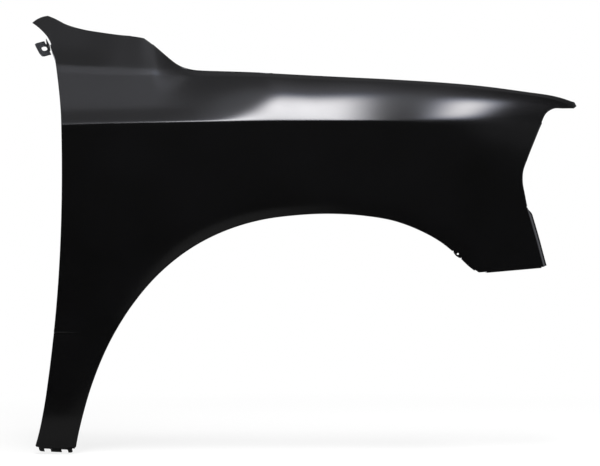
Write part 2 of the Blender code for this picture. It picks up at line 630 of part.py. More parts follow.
def build_fender(material):
    crease, strip_foot, strip_middle, top = top_lines()
    inner, outer, leg_end = body_lines(crease)
    body_share = body_rows(inner, outer)
    body = ruled_net(inner, outer, body_share)
    columns = len(crease)

    def fixed_rows(shares):
        return np.broadcast_to(np.array(shares), (columns, len(shares)))

    beak = smooth_curve(real(BEAK_SHARES))
    beak[0] = crease[-1]
    beak[-1] = strip_foot[-1]
    shoulder_rear = smooth_curve(real(SHOULDER_REAR_SHARES))
    shoulder_rear[0] = crease[0]
    shoulder = ruled_net(crease, strip_foot, fixed_rows(SHOULDER_ROW_SHARES), shoulder_rear, beak)
    strip = ruled_net(strip_foot, strip_middle, fixed_rows(STRIP_ROW_SHARES))
    cowl_rear = smooth_curve(real(COWL_REAR_SHARES))
    cowl = ruled_net(strip_middle, top, fixed_rows(COWL_ROW_SHARES), cowl_rear)

    sheet = Sheet()
    sheet.add(lift(body, inner))
    for net in (shoulder, strip, cowl):
        sheet.add(lift(net))

    # Rear edge, from the foot to the cowl
    rear = np.concatenate((body[:leg_end, -1], shoulder[0], strip[0, 1:], cowl[0, 1:-1]))
    rear = rear[1:]
    rear_net = folded_strip(lift(rear[None])[0], face_normals(rear), REAR_FLANGE_WIDTH, SQUARE_FOLD)
    sheet.add(rear_net)

    # Cowl edge, its drop, and the hood line with its ledge
    first = TIP_COLUMNS
    second = first + COWL_COLUMNS
    third = second + DROP_COLUMNS
    edge = top[first:second]
    edge_width = COWL_FLANGE_WIDTH
    sheet.add(folded_strip(lift(edge[None])[0], face_normals(edge), edge_width, SQUARE_FOLD))
    edge = top[second + 1:third]
    sheet.add(folded_strip(lift(edge[None])[0], face_normals(edge), DROP_FLANGE_WIDTH, SQUARE_FOLD))
    last = third + int(np.searchsorted(np.array(HOOD_COLUMN_SHARES), LEDGE_END_SHARE))
    edge = top[third:last]
    ledge_net = hood_ledge(lift(edge[None])[0], face_normals(edge))
    sheet.add(ledge_net)
    edge = top[last:-1]
    sheet.add(folded_strip(lift(edge[None])[0], face_normals(edge), NOSE_WALL_HEIGHT, SQUARE_FOLD))

    # Front edge: folded beside the headlamp, joggled below it
    front_start = leg_end + columns - 1
    down = body[front_start:, -1]
    upper = int(np.argmin(np.abs(down[:, 1] - JOGGLE_TOP_SHARE * PANEL_HEIGHT)))
    edge = np.concatenate((shoulder[-1, ::-1][2:-1], down[:upper]))
    sheet.add(folded_strip(lift(edge[None])[0], face_normals(edge), FRONT_FLANGE_WIDTH, SQUARE_FOLD))
    edge = down[upper:]
    sheet.add(joggled_strip(lift(edge[None])[0], face_normals(edge)))

    # Bottom edge in front of the wheel
    edge = body[-1, ::-1][1:-1]
    bottom_net = folded_strip(lift(edge[None])[0], face_normals(edge), BOTTOM_FLANGE_WIDTH, SQUARE_FOLD)
    sheet.add(bottom_net)

    # Wheel arch, in two runs with a small ear between them
    arch = body[::-1, 0]
    inward = body[::-1, 1]
    solid = lift(body[::-1], inner[::-1])[:, 0]
    normals = face_normals(arch, inward)
    share = arch[:, 0] / PANEL_LENGTH
    ear_first = int(np.argmin(np.abs(share - EAR_SHARES[1])))
    ear_last = int(np.argmin(np.abs(share - EAR_SHARES[0])))
    pieces = ((1, ear_first), (ear_last + 1, len(arch) - 1))
    arch_nets = []
    for begin, end in pieces:
        chain = slice(begin, end)
        arch_nets.append(folded_strip(solid[chain], normals[chain], ARCH_FLANGE_WIDTH, SQUARE_FOLD))
        sheet.add(arch_nets[-1])
    chain = slice(ear_first, ear_last + 1)
    ear_net = ear_strip(solid[chain], normals[chain])
    sheet.add(ear_net)

    # Foot, a flange that slopes in and down
    edge = body[0][1:-1]
    foot_net = folded_strip(lift(edge[None])[0], face_normals(edge), FOOT_FLANGE_WIDTH, FOOT_FOLD_ANGLE)
    sheet.add(foot_net)

    part = sheet.build("fender_panel")
    part.data.materials.append(material)
    add_thickness(part, SHEET_THICKNESS)

    form = bmesh.new()
    centres, levels = pad_levels()
    main = len(centres) // 2
    middles = np.interp(centres, ledge_net[:, -1, 0], 0.5 * (ledge_net[:, -1, 1] + ledge_net[:, -2, 1]))
    for number, place in enumerate(zip(centres, middles, levels)):
        shifts = (-MAIN_PAD_HOLE_OFFSET, MAIN_PAD_HOLE_OFFSET) if number == main else (0.0,)
        for shift in shifts:
            add_cutter(form, (place[0] + shift, place[1], place[2]), (0, 0, 1), PAD_HOLE_DIAMETER)
    for shares, diameter, nets in (
            (LINER_HOLE_SHARES, LINER_HOLE_DIAMETER, arch_nets[1:]),
            (REAR_HOLE_SHARES, REAR_HOLE_DIAMETER, (rear_net,)),
            (BOTTOM_HOLE_SHARES, BOTTOM_HOLE_DIAMETER, (bottom_net,))):
        for share in shares:
            place, direction, along, across = strip_place(nets[0], share, 0.5)
            add_cutter(form, place, direction, diameter)
    place, direction, along, across = strip_place(ear_net, 0.5, 0.0)
    add_cutter(form, place - across / np.linalg.norm(across) * EAR_HOLE_INSET, direction, EAR_HOLE_DIAMETER)
    for share in FOOT_SLOT_SHARES:
        place, direction, along, across = strip_place(foot_net, share, 1.0)
        stretch = 2 * FOOT_SLOT_DEPTH - FOOT_SLOT_WIDTH
        add_cutter(form, place, direction, FOOT_SLOT_WIDTH, stretch, across, FOOT_SLOT_CORNER)
    cutter = finish_cutter(form, "fender_hole_cutter", part)
    pad = Vector((centres[main], middles[main], levels[main] - SHEET_THICKNESS))
    return part, cutter, pad


# Folded bracket: a leg beside the rear flange and a tab turned back from it
def build_bracket(material):
    curve = smooth_curve(real(COWL_REAR_SHARES))
    level = BRACKET_CENTRE_SHARE * PANEL_HEIGHT
    half_leg = 0.5 * BRACKET_LEG_LENGTH
    near = points_at(curve, 1, np.array((level - half_leg, level, level + half_leg)))
    centre = lift(near[None])[0]
    normals = face_normals(near)
    normal = Vector(normals[1])
    run = Vector(centre[2] - centre[0])
    run = (run - normal * run.dot(normal)).normalized()
    away = normal.cross(run)
    frame = Matrix((away, run, normal)).transposed().to_4x4()
    frame.translation = Vector(centre[1])

    turns = np.linspace(0.0, SQUARE_FOLD, FOLD_STEPS + 1)
    base = FOLD_RADIUS + BRACKET_GAP
    depth = BRACKET_LEG_START + BRACKET_LEG_WIDTH
    sheet = Sheet()
    rows = [[base, -BRACKET_LEG_START]]
    for turn in turns:
        rows.append([base + BRACKET_FOLD_RADIUS * (1.0 - math.cos(turn)),
                     -depth - BRACKET_FOLD_RADIUS * math.sin(turn)])
    rows = np.array(rows)
    rows = np.concatenate((rows, rows[-1:]))
    half_tab = 0.5 * BRACKET_TAB_LENGTH
    columns = np.array((-half_tab, -half_leg, 0.0, half_leg, half_tab))
    net = np.zeros((len(columns), len(rows), 3))
    net[:, :, 0] = rows[None, :, 0]
    net[:, :, 1] = columns[:, None]
    net[:, :, 2] = rows[None, :, 1]
    net[:, -1, 0] += BRACKET_TAB_WIDTH * np.array(BRACKET_TAB_SHARES)
    sheet.add(net[1:-1, :-1])
    sheet.add(net[:, -2:])
    part = sheet.build("upper_rear_bracket")
    part.data.materials.append(material)
    add_thickness(part, BRACKET_THICKNESS)
    form = bmesh.new()
    place = (base + BRACKET_FOLD_RADIUS + BRACKET_HOLE_OFFSET, 0.0, -depth - BRACKET_FOLD_RADIUS)
    stretch = BRACKET_HOLE_LENGTH - BRACKET_HOLE_WIDTH
    add_cutter(form, place, (0, 0, 1), BRACKET_HOLE_WIDTH, stretch, (0, 1, 0))
    cutter = finish_cutter(form, "bracket_hole_cutter", part)
    return part, cutter, frame


def main():
    clear_scene()
    primer = make_material("black_primer", PRIMER_COLOUR, PRIMER_ROUGHNESS)
    bare = make_material("bracket_primer", BRACKET_COLOUR, BRACKET_ROUGHNESS)
    fender, fender_cutter, pad = build_fender(primer)
    bracket, bracket_cutter, frame = build_bracket(bare)
    for item in (fender, fender_cutter):
        item.location = -pad
    for item in (bracket, bracket_cutter):
        item.matrix_world = Matrix.Translation(-pad) @ frame


main()
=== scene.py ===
# Right-hand front fender of a full-size pickup: one steel stamping in black dip primer,
# with one folded bracket welded to its upper rear edge.
import math
import bmesh
import bpy
import numpy as np
from mathutils import Matrix, Vector


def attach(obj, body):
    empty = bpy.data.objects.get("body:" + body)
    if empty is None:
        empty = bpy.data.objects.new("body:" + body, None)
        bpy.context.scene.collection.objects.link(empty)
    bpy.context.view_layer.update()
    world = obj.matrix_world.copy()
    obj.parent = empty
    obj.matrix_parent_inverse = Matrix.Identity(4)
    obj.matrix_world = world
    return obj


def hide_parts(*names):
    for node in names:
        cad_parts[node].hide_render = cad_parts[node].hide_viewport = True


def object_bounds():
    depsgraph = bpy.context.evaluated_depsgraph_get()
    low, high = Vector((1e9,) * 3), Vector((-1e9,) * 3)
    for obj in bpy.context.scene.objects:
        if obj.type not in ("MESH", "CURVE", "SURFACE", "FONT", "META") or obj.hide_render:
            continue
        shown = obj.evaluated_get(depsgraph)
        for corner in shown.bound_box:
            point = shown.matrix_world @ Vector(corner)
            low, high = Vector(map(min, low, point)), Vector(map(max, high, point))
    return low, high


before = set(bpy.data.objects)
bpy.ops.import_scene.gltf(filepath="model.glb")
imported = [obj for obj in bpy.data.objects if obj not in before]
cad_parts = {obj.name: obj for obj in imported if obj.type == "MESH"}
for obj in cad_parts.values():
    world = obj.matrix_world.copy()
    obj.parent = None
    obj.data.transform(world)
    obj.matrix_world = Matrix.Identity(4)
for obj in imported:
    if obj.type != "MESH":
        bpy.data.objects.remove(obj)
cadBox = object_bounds()
print("frame loaded:", ", ".join(sorted(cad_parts)))

# The stamping, in metres. Outline points are (share of length, share of height), with x from
# the rear end, z from the foot and y inward from the widest place of the outer face.
panel = {
    "length": 1.418, "height": 1.112, "thickness": 0.0008, "foldRadius": 0.0028,
    # underside of the main pad, where the part's origin is
    "padPlace": (0.8508, 0.153612, 0.912061),
    # fine columns for one coarse column, steps between two outline points, sides of a hole
    "each": 6, "curveSteps": 40, "holeSides": 32,
    "mergeGap": 0.00002, "sharpAngle": math.radians(32.0),
}

outline = {
    "rearEdge": [
        (0.0274, -0.0018), (0.0364, 0.0374), (0.0440, 0.0833), (0.0537, 0.1629), (0.0616, 0.2423),
        (0.0688, 0.3327), (0.0739, 0.4230), (0.0770, 0.5176), (0.0780, 0.6145), (0.0766, 0.7298)],
    "shoulderRear": [(0.0766, 0.7298), (0.0709, 0.7776), (0.0654, 0.8163), (0.0591, 0.8554)],
    "cowlRear": [
        (0.0560, 0.8751), (0.0512, 0.8961), (0.0436, 0.9171), (0.0326, 0.9432), (0.0213, 0.9595),
        (0.0000, 0.9815)],
    "tip": [(0.0000, 0.9815), (0.0117, 0.9938), (0.0263, 0.9996)],
    "cowlTop": [
        (0.0263, 0.9996), (0.0391, 0.9927), (0.0629, 0.9765), (0.0900, 0.9651), (0.1282, 0.9552),
        (0.1660, 0.9475), (0.1939, 0.9438), (0.2103, 0.9399)],
    "cowlDrop": [
        (0.2103, 0.9399), (0.2216, 0.9294), (0.2407, 0.9089), (0.2595, 0.8882), (0.2784, 0.8697),
        (0.2971, 0.8613), (0.3155, 0.8589)],
    "hoodLine": [
        (0.3155, 0.8589), (0.3703, 0.8556), (0.4609, 0.8501), (0.5692, 0.8428), (0.6772, 0.8353),
        (0.7494, 0.8298), (0.8222, 0.8226), (0.8953, 0.8116), (0.9713, 0.7984), (0.9986, 0.7890)],
    "beak": [
        (0.9252, 0.7239), (0.9292, 0.7342), (0.9405, 0.7592), (0.9550, 0.7702), (0.9730, 0.7712),
        (0.9935, 0.7722)],
    "frontEdge": [
        (0.9252, 0.7239), (0.9159, 0.6968), (0.9023, 0.6553), (0.8934, 0.6230), (0.8928, 0.5972),
        (0.8964, 0.5720), (0.9005, 0.5460), (0.9102, 0.5044), (0.9198, 0.4634), (0.9272, 0.4293),
        (0.9322, 0.4068)],
    "arch": [
        (0.0958, -0.0060), (0.1062, 0.0518), (0.1278, 0.1456), (0.1602, 0.2419), (0.1995, 0.3229),
        (0.2492, 0.3961), (0.3060, 0.4528), (0.3644, 0.4905), (0.4262, 0.5144), (0.4881, 0.5254),
        (0.5499, 0.5290), (0.6118, 0.5243), (0.6649, 0.5124), (0.7093, 0.4914), (0.7450, 0.4667),
        (0.7808, 0.4300), (0.7985, 0.4090), (0.8145, 0.3945)],
    "stripFoot": [
        (0.0591, 0.8554), (0.1542, 0.8486), (0.2445, 0.8462), (0.3164, 0.8459), (0.4072, 0.8428),
        (0.4970, 0.8382), (0.5687, 0.8342), (0.6404, 0.8307), (0.7121, 0.8259), (0.7842, 0.8190),
        (0.8568, 0.8100), (0.9120, 0.8014), (0.9678, 0.7880), (0.9935, 0.7722)],
    "stripMiddle": [
        (0.0560, 0.8751), (0.1531, 0.8675), (0.2438, 0.8622), (0.2887, 0.8600), (0.3160, 0.8550),
        (0.4070, 0.8501), (0.4970, 0.8440), (0.5688, 0.8388), (0.6405, 0.8344), (0.7123, 0.8294),
        (0.7844, 0.8225), (0.8571, 0.8132), (0.9123, 0.8049), (0.9682, 0.7922), (1.0000, 0.7782)],
}

# How deep the face lies: plan and section bends, the character line, the shoulder, the rolled
# strip along the hood line, the cowl, the groove across the leg and the lip round the arch
form = {
    "widestLength": 0.539, "rearTurnIn": 0.008, "rearTurn": 0.462,
    "frontTurnIn": 0.075, "frontTurn": 0.395, "frontPower": 2.6,
    "widestHeight": 0.538, "sideBend": 0.033, "sideBendShare": 0.315,
    "footTurn": 0.0747, "footRadius": 0.222,
    "creaseHeight": 0.7375, "creaseRearDrop": 0.0095, "creaseFrontDrop": 0.016, "creasePower": 2.5,
    "creaseSoft": 0.003, "creaseFrontSoft": 0.050, "creaseFade": (0.638, 0.282),
    "ledgeSlopes": (1.12, 0.43), "ledgeSpan": (0.2165, 0.4815),
    "softBand": (0.035, 0.010, 0.26), "softBandSpan": (0.229, 0.335),  # height, softness, slope
    "bulge": (0.085, 0.045, 1.2), "bulgeSpan": (0.194, 0.525),
    "stripSlope": 1.9, "stripSoft": 0.002, "stripStart": (0.243, 0.335),
    "stripGrowth": (0.314, 0.582), "stripFirst": 0.3,
    "bandSlope": 0.10, "bandSpan": (0.264, 0.321),
    "cowlSlope": 0.27, "cowlSoft": 0.005, "cowlSpan": (0.264, 0.317),
    "wedge": (0.034, 0.016, 0.35), "wedgeSpan": (0.102, 0.166),
    "grooveTop": 0.2618, "grooveStep": 0.004, "grooveHeight": 0.025, "grooveDepth": 0.0018,
    "grooveSpan": (0.075, 0.122),
    "lipWidth": 0.045, "lipSlope": 0.20,
}

# Where the coarse columns stand, and how many fine rows each band of the face gets
columns = {
    "legSplit": 0.297, "archRearSplit": 0.434, "archFrontSplit": 0.718,
    "creaseKnots": (0.0766, 0.088, 0.2116, 0.3155, 0.9252),
    "stripFootKnots": (0.0591, 0.074, 0.2116, 0.3155, 0.9935),
    "stripMiddleKnots": (0.0560, 0.072, 0.2116, 0.3155, 1.0000),
    "tip": 2, "cowl": 8, "drop": 6, "leg": 11,
    "front": (
        0.0, 0.111, 0.222, 0.333, 0.420, 0.495, 0.530, 0.577, 0.623, 0.670, 0.705, 0.780, 0.853,
        0.927, 1.0),
    "foot": (0.0, 0.1, 0.4, 0.7, 1.0),
    "hood": (
        0.3155, 0.3353, 0.36, 0.3847, 0.415, 0.4453, 0.47, 0.4947, 0.53, 0.5753, 0.60, 0.6247,
        0.665, 0.7053, 0.73, 0.7547, 0.795, 0.8353, 0.86, 0.8847, 0.9100, 0.935, 0.96, 0.982,
        0.9986),
    "archRows": (0.0, 0.003, 0.0065, 0.0105, 0.015, 0.020, 0.026, 0.033, 0.041, 0.050),
    "middleRows": 18, "underGroove": 4,
    "creaseRows": (
        0.045, 0.034, 0.025, 0.0185, 0.0135, 0.010, 0.0075, 0.0055, 0.004, 0.0026, 0.0013, 0.0),
    "fullWidth": 0.160, "shoulderRows": 44, "stripRows": 10, "cowlRows": 16,
}


# a point or an outline given in shares, turned to metres
def inMetres(shares):
    return np.array(shares, float) * np.array((panel["length"], panel["height"]))


# length of each vector: the root of the sum of its squares
def lengths(vectors):
    return np.sqrt(np.sum(vectors ** 2, axis=-1))


# distance run along a line of points: the sum of the gaps so far
def runLength(points):
    return np.concatenate(((0.0,), np.cumsum(lengths(np.diff(points, axis=0)))))


# shares from 0 to 1 in even steps
def evenShares(steps):
    return np.linspace(0.0, 1.0, steps + 1)


# cubic pieces through the points: p(t) = h00 p0 + h10 m0 + h01 p1 + h11 m1, with the slopes m
# taken from the neighbours by central differences
def smoothThrough(points, steps=panel["curveSteps"]):
    slopes = np.gradient(points, runLength(points), axis=0, edge_order=2)
    t = np.linspace(0.0, 1.0, steps, endpoint=False)[None, :, None]
    length = lengths(np.diff(points, axis=0))[:, None, None]
    start, stop = points[:-1, None], points[1:, None]
    pieces = (start * (2 * t ** 3 - 3 * t ** 2 + 1) + stop * (3 * t ** 2 - 2 * t ** 3)
              + slopes[:-1, None] * length * (t ** 3 - 2 * t ** 2 + t)
              + slopes[1:, None] * length * (t ** 3 - t ** 2))
    return np.concatenate((pieces.reshape(-1, 2), points[-1:]))


# one line of the outline as a smooth curve in metres
def outlineCurve(name):
    return smoothThrough(inMetres(outline[name]))


# the curve's points where one coordinate has the given values
def whereCoordinate(curve, axis, values):
    order = np.argsort(curve[:, axis])
    other = np.interp(values, curve[order, axis], curve[order, 1 - axis])
    return np.stack((values, other) if axis == 0 else (other, values), axis=1)


# the curve's points at shares of its length
def atShares(curve, shares):
    run = runLength(curve) / np.sum(lengths(np.diff(curve, axis=0)))
    return np.stack([np.interp(shares, run, curve[:, axis]) for axis in (0, 1)], axis=-1)


# 0 before start, 1 after stop, 3t^2 - 2t^3 between
def easeIn(start, stop, values):
    t = np.clip((values - start) / (stop - start), 0.0, 1.0)
    return t * t * (3.0 - 2.0 * t)


# the same with soft ends too: t^3 (6 t^2 - 15 t + 10)
def easeGently(start, stop, values):
    t = np.clip((values - start) / (stop - start), 0.0, 1.0)
    return t ** 3 * (t * (6.0 * t - 15.0) + 10.0)


# rounded corner: (d + sqrt(d^2 + s^2)) / 2 is nearly 0 on one side and nearly d on the other
def softCorner(distance, softness):
    return 0.5 * (distance + np.sqrt(distance * distance + softness * softness))


# puts several fine steps into each coarse step
def finer(values):
    each = panel["each"]
    steps = np.arange((len(values) - 1) * each + 1) / each
    return np.interp(steps, np.arange(len(values)), np.array(values, float))


strips = {name: outlineCurve(name) for name in ("stripFoot", "stripMiddle")}


# the character line: level, with a square drop to the rear and a power drop to the front
def creaseLine(x):
    f = form
    along = x / panel["length"] - f["widestLength"]
    rear = np.maximum(-along, 0.0) / f["rearTurn"]
    front = np.maximum(along, 0.0) / f["frontTurn"]
    drop = f["creaseRearDrop"] * rear ** 2 + f["creaseFrontDrop"] * front ** f["creasePower"]
    return f["creaseHeight"] * panel["height"] - drop


# height z of a fold line at x: the character line, or a curve of the strip
def lineHeight(name, x):
    return creaseLine(x) if name == "crease" else np.interp(x, *strips[name].T)


# depth y of the outer face at side-view place x, z: a sum of the plan bend, the section bend
# (a hyperbola), the foot's arc, and one soft corner for each fold line above the crease
def faceDepth(x, z):
    f = form
    along = x / panel["length"]
    rear = np.maximum(f["widestLength"] - along, 0.0) / f["rearTurn"]
    front = np.maximum(along - f["widestLength"], 0.0) / f["frontTurn"]
    depth = f["rearTurnIn"] * rear ** 2 + f["frontTurnIn"] * front ** f["frontPower"]
    level = (z / panel["height"] - f["widestHeight"]) / f["sideBendShare"]
    depth = depth + f["sideBend"] * (np.sqrt(1.0 + level ** 2) - 1.0)
    underTurn = np.maximum(f["footTurn"] * panel["height"] - z, 0.0)
    depth = depth + 0.5 * underTurn ** 2 / f["footRadius"]
    above, overFoot, overMiddle = [
        z - lineHeight(name, x) for name in ("crease", "stripFoot", "stripMiddle")]
    start, run = f["creaseFade"]
    soft = f["creaseSoft"] + f["creaseFrontSoft"] * (np.maximum(along - start, 0.0) / run) ** 2
    first, last = f["ledgeSlopes"]
    slope = first + (last - first) * easeGently(*f["ledgeSpan"], along)
    depth = depth + slope * softCorner(above, soft)
    height, corner, slope = f["softBand"]
    slope = slope * (1.0 - easeIn(*f["softBandSpan"], along))
    depth = depth - slope * softCorner(above - height, corner)
    height, corner, slope = f["bulge"]
    depth = depth + slope * easeIn(*f["bulgeSpan"], along) * softCorner(above - height, corner)
    growth = f["stripFirst"] + (1.0 - f["stripFirst"]) * easeIn(*f["stripGrowth"], along)
    roll = f["stripSlope"] * easeIn(*f["stripStart"], along) * growth
    roll = roll - f["bandSlope"] * (1.0 - easeIn(*f["bandSpan"], along))
    depth = depth + roll * softCorner(overFoot, f["stripSoft"])
    cowl = f["cowlSlope"] * (1.0 - easeIn(*f["cowlSpan"], along))
    height, corner, slope = f["wedge"]
    wedge = slope * (1.0 - easeIn(*f["wedgeSpan"], along))
    depth = depth + (cowl + wedge) * softCorner(overMiddle, f["cowlSoft"])
    depth = depth - wedge * softCorner(overMiddle - height, corner)
    under = f["grooveTop"] * panel["height"] - z
    groove = 1.0 - easeIn(*f["grooveSpan"], along)
    stepIn = easeIn(0.0, f["grooveStep"], under)
    runOut = 1.0 - easeIn(f["grooveStep"], f["grooveHeight"], under)
    return depth + f["grooveDepth"] * groove * np.minimum(stepIn, runOut)


# the lip rolls in as half the slope times (w - d)^2 / w, at distance d from the arch edge
def lipDepth(distance):
    inside = np.maximum(form["lipWidth"] - distance, 0.0)
    return 0.5 * form["lipSlope"] * inside ** 2 / form["lipWidth"]


# grid between a lower and an upper line: (1 - v) low + v up, with its ends bent to side curves
def ruledGrid(lower, upper, rows, left=None, right=None):
    grid = lower[:, None] * (1.0 - rows[..., None]) + upper[:, None] * rows[..., None]
    share = evenShares(len(lower) - 1)
    for side, weight, index in ((left, 1.0 - share, 0), (right, share, -1)):
        if side is not None:
            shift = (atShares(side, rows[index]) - grid[index])[None]
            grid = grid + shift * (weight ** 3)[:, None, None]
    return grid


# side-view grid raised to the face: (x, z) becomes (x, depth, z)
def onFace(grid, rollFrom=None):
    depth = faceDepth(grid[..., 0], grid[..., 1])
    if rollFrom is not None:
        depth = depth + lipDepth(lengths(grid - rollFrom[:, None]))
    return np.stack((grid[..., 0], depth, grid[..., 1]), axis=-1)


# outward direction (dy/dx, -1, dy/dz) of the face, by differences over 0.4 mm
def faceNormals(places, rollToward=None):
    x, z = places[:, 0], places[:, 1]
    probe = 0.0004
    slopeX = (faceDepth(x + probe, z) - faceDepth(x - probe, z)) / (2 * probe)
    slopeZ = (faceDepth(x, z + probe) - faceDepth(x, z - probe)) / (2 * probe)
    if rollToward is not None:
        heading = rollToward - places
        heading = heading / lengths(heading)[:, None]
        slopeX = slopeX - form["lipSlope"] * heading[:, 0]
        slopeZ = slopeZ - form["lipSlope"] * heading[:, 1]
    normals = np.stack((slopeX, -np.ones(len(x)), slopeZ), axis=1)
    return normals / lengths(normals)[:, None]


# fine places between coarse knots, with a number of coarse steps for each stretch
def spreadOut(knots, counts):
    pieces = [np.linspace(first, last, count * panel["each"], endpoint=False)
              for first, last, count in zip(knots, knots[1:], counts)]
    return np.concatenate(pieces + [np.array(knots[-1:])])


# the four long lines over the side: character line, strip foot, strip middle, top edge
def longLines():
    counts = (columns["tip"], columns["cowl"], columns["drop"])
    hood = finer(columns["hood"])
    hoodRun = (hood - hood[0]) / (hood[-1] - hood[0])
    lines = []
    for name in ("crease", "stripFoot", "stripMiddle"):
        knots = columns[name + "Knots"]
        rear = spreadOut(knots[:4], counts)
        x = np.concatenate((rear, knots[3] + (knots[4] - knots[3]) * hoodRun[1:])) * panel["length"]
        lines.append(np.stack((x, lineHeight(name, x)), axis=1))
    top = []
    for name, count in zip(("tip", "cowlTop", "cowlDrop"), counts):
        shares = np.linspace(0.0, 1.0, count * panel["each"], endpoint=False)
        top.append(atShares(outlineCurve(name), shares))
    top.append(whereCoordinate(outlineCurve("hoodLine"), 0, hood * panel["length"]))
    return lines + [np.concatenate(top)]


# the side below the character line runs up the leg, along the line and down the front:
# one inner point on the arch and one outer point for each column
def sideLines(crease):
    rear, front, arch = outlineCurve("rearEdge"), outlineCurve("frontEdge"), outlineCurve("arch")
    rear[-1], front[0] = crease[0], crease[-1]
    split = columns["legSplit"] * panel["height"]
    groove = form["grooveTop"] * panel["height"]
    turn = form["footTurn"] * panel["height"]
    low = np.concatenate((
        arch[0, 1] + (turn - arch[0, 1]) * np.array(columns["foot"]),
        np.linspace(turn, groove - form["grooveHeight"], columns["underGroove"] + 1)[1:],
        (groove - form["grooveStep"], groove, split)))
    outerLow = low.copy()
    outerLow[0] = rear[0, 1]
    steps = evenShares(columns["leg"])[1:]
    rearLevel = columns["archRearSplit"] * panel["height"]
    outerLeg = finer(np.concatenate((outerLow, split + (crease[0, 1] - split) * steps)))
    innerLeg = finer(np.concatenate((low, split + (rearLevel - split) * steps)))
    rising = arch[:np.argmax(arch[:, 1]) + 1]
    inner = [whereCoordinate(rising, 1, innerLeg)]
    outer = [whereCoordinate(rear, 1, outerLeg)]
    start, stop = inner[0][-1, 0], columns["archFrontSplit"] * panel["length"]
    reach = (crease[:, 0] - crease[0, 0]) / (crease[-1, 0] - crease[0, 0])
    inner.append(whereCoordinate(arch, 0, start + (stop - start) * reach[1:]))
    outer.append(crease[1:])
    frontSteps = finer(columns["front"])[1:]
    inner.append(whereCoordinate(arch, 0, stop + (arch[-1, 0] - stop) * frontSteps))
    outer.append(atShares(front, frontSteps))
    return np.concatenate(inner), np.concatenate(outer), len(innerLeg) - 1


# rows close together at the arch and at the outer edge, wider between
def sideRows(inner, outer):
    width = lengths(outer - inner)[:, None]
    scale = np.minimum(width / columns["fullWidth"], 1.0)
    near = np.array(columns["archRows"])[None] * scale / width
    far = 1.0 - np.array(columns["creaseRows"])[None] * scale / width
    share = evenShares(columns["middleRows"] + 1)[1:-1]
    middle = near[:, -1:] + (far[:, :1] - near[:, -1:]) * share[None]
    return np.concatenate((near, middle, far), axis=1)


# rows between two fold lines, closer at both: 0.3 t + 0.7 (1 - cos(pi t)) / 2
def closeAtEnds(count, width):
    t = evenShares(count)
    share = 0.3 * t + 0.35 * (1.0 - np.cos(math.pi * t))
    return np.broadcast_to(share, (width, count + 1))


# joins grids into one mesh: quads (i, j), (i + 1, j), (i + 1, j + 1), (i, j + 1) of each grid
def meshFromGrids(name, grids):
    points, faces, count = [], [], 0
    for grid in grids:
        across, along = grid.shape[:2]
        index = count + np.arange(across * along).reshape(across, along)
        quads = np.stack((index[:-1, :-1], index[1:, :-1], index[1:, 1:], index[:-1, 1:]), axis=-1)
        points.append(grid.reshape(-1, 3))
        faces.append(quads.reshape(-1, 4))
        count += across * along
    mesh = bpy.data.meshes.new(name)
    mesh.from_pydata(np.concatenate(points), [], np.concatenate(faces))
    shape = bmesh.new()
    shape.from_mesh(mesh)
    bmesh.ops.remove_doubles(shape, verts=shape.verts[:], dist=panel["mergeGap"])
    shape.to_mesh(mesh)
    shape.free()
    return mesh


# direction away from the sheet at its edge: normal x run
def awayFromEdge(points, normals):
    run = np.gradient(points, axis=0)
    away = np.cross(normals, run / lengths(run)[:, None])
    return away / lengths(away)[:, None]


# strip beside an edge: point + out x away - into x normal
def besideEdge(points, normals, out, into):
    away = awayFromEdge(points, normals)
    return points[:, None] + out[..., None] * away[:, None] - into[..., None] * normals[:, None]


# a fold's arc at each angle a: r sin a along, r (1 - cos a) across
def foldArc(radius, turns):
    return radius * np.sin(turns), radius * (1.0 - np.cos(turns))


# what a rounded corner takes off at a distance from the end: r - sqrt(r^2 - (r - d)^2)
def cornerCut(radius, distance):
    short = np.maximum(radius - distance, 0.0)
    return radius - np.sqrt(np.maximum(radius ** 2 - short ** 2, 0.0))


# Strips turned in from the edges: widths and radii in metres, spans and ends as shares, trims as
# the fine columns or rows that are left free beside a strip
flange = {
    "rear": 0.014, "cowl": 0.014, "drop": 0.009, "front": 0.014, "bottom": 0.020, "arch": 0.020,
    "foot": 0.028, "footAngle": math.radians(40.0), "square": math.radians(90.0),
    "endRadius": 0.008, "foldSteps": 5, "widthSteps": 2, "earSteps": 3,
    "joggle": (0.0038, 0.0070, 0.0035),  # drop, run and width of the set-back strip
    "joggleGrowth": 0.022, "joggleTop": 0.541, "joggleEnd": 0.15,
    "earHeight": 0.0050, "earSpan": (0.7691, 0.7827), "earEnd": 0.15,
    "cowlEnd": 0.45, "beakEnd": 0.13,    # shares of the rear cowl edge and the beak that have one
    "rearTrim": 2, "bottomTrim": (4, 5), "footTrim": (3, 6),
    "archTrim": (6, 2), "earTrim": 2, "spanMargin": 0.0001,
}


# strip width with a quarter circle at both ends
def roundedWidths(points, width):
    run = runLength(points)
    radius = flange["endRadius"]
    taken = cornerCut(radius, np.minimum(run, run[-1] - run))
    return np.maximum(width - taken, width - radius)


# strip folded in: an arc of the fold radius through the angle, then straight to its width
def foldInward(points, normals, width, angle):
    radius = panel["foldRadius"]
    along, across = foldArc(radius, evenShares(flange["foldSteps"]) * angle)
    reach = roundedWidths(points, width)[:, None] * evenShares(flange["widthSteps"])[1:]
    size = (len(points), len(along))
    out = np.concatenate((np.broadcast_to(along, size),
                          radius * math.sin(angle) + reach * math.cos(angle)), axis=1)
    into = np.concatenate((np.broadcast_to(across, size),
                           radius * (1.0 - math.cos(angle)) + reach * math.sin(angle)), axis=1)
    return besideEdge(points, normals, out, into)


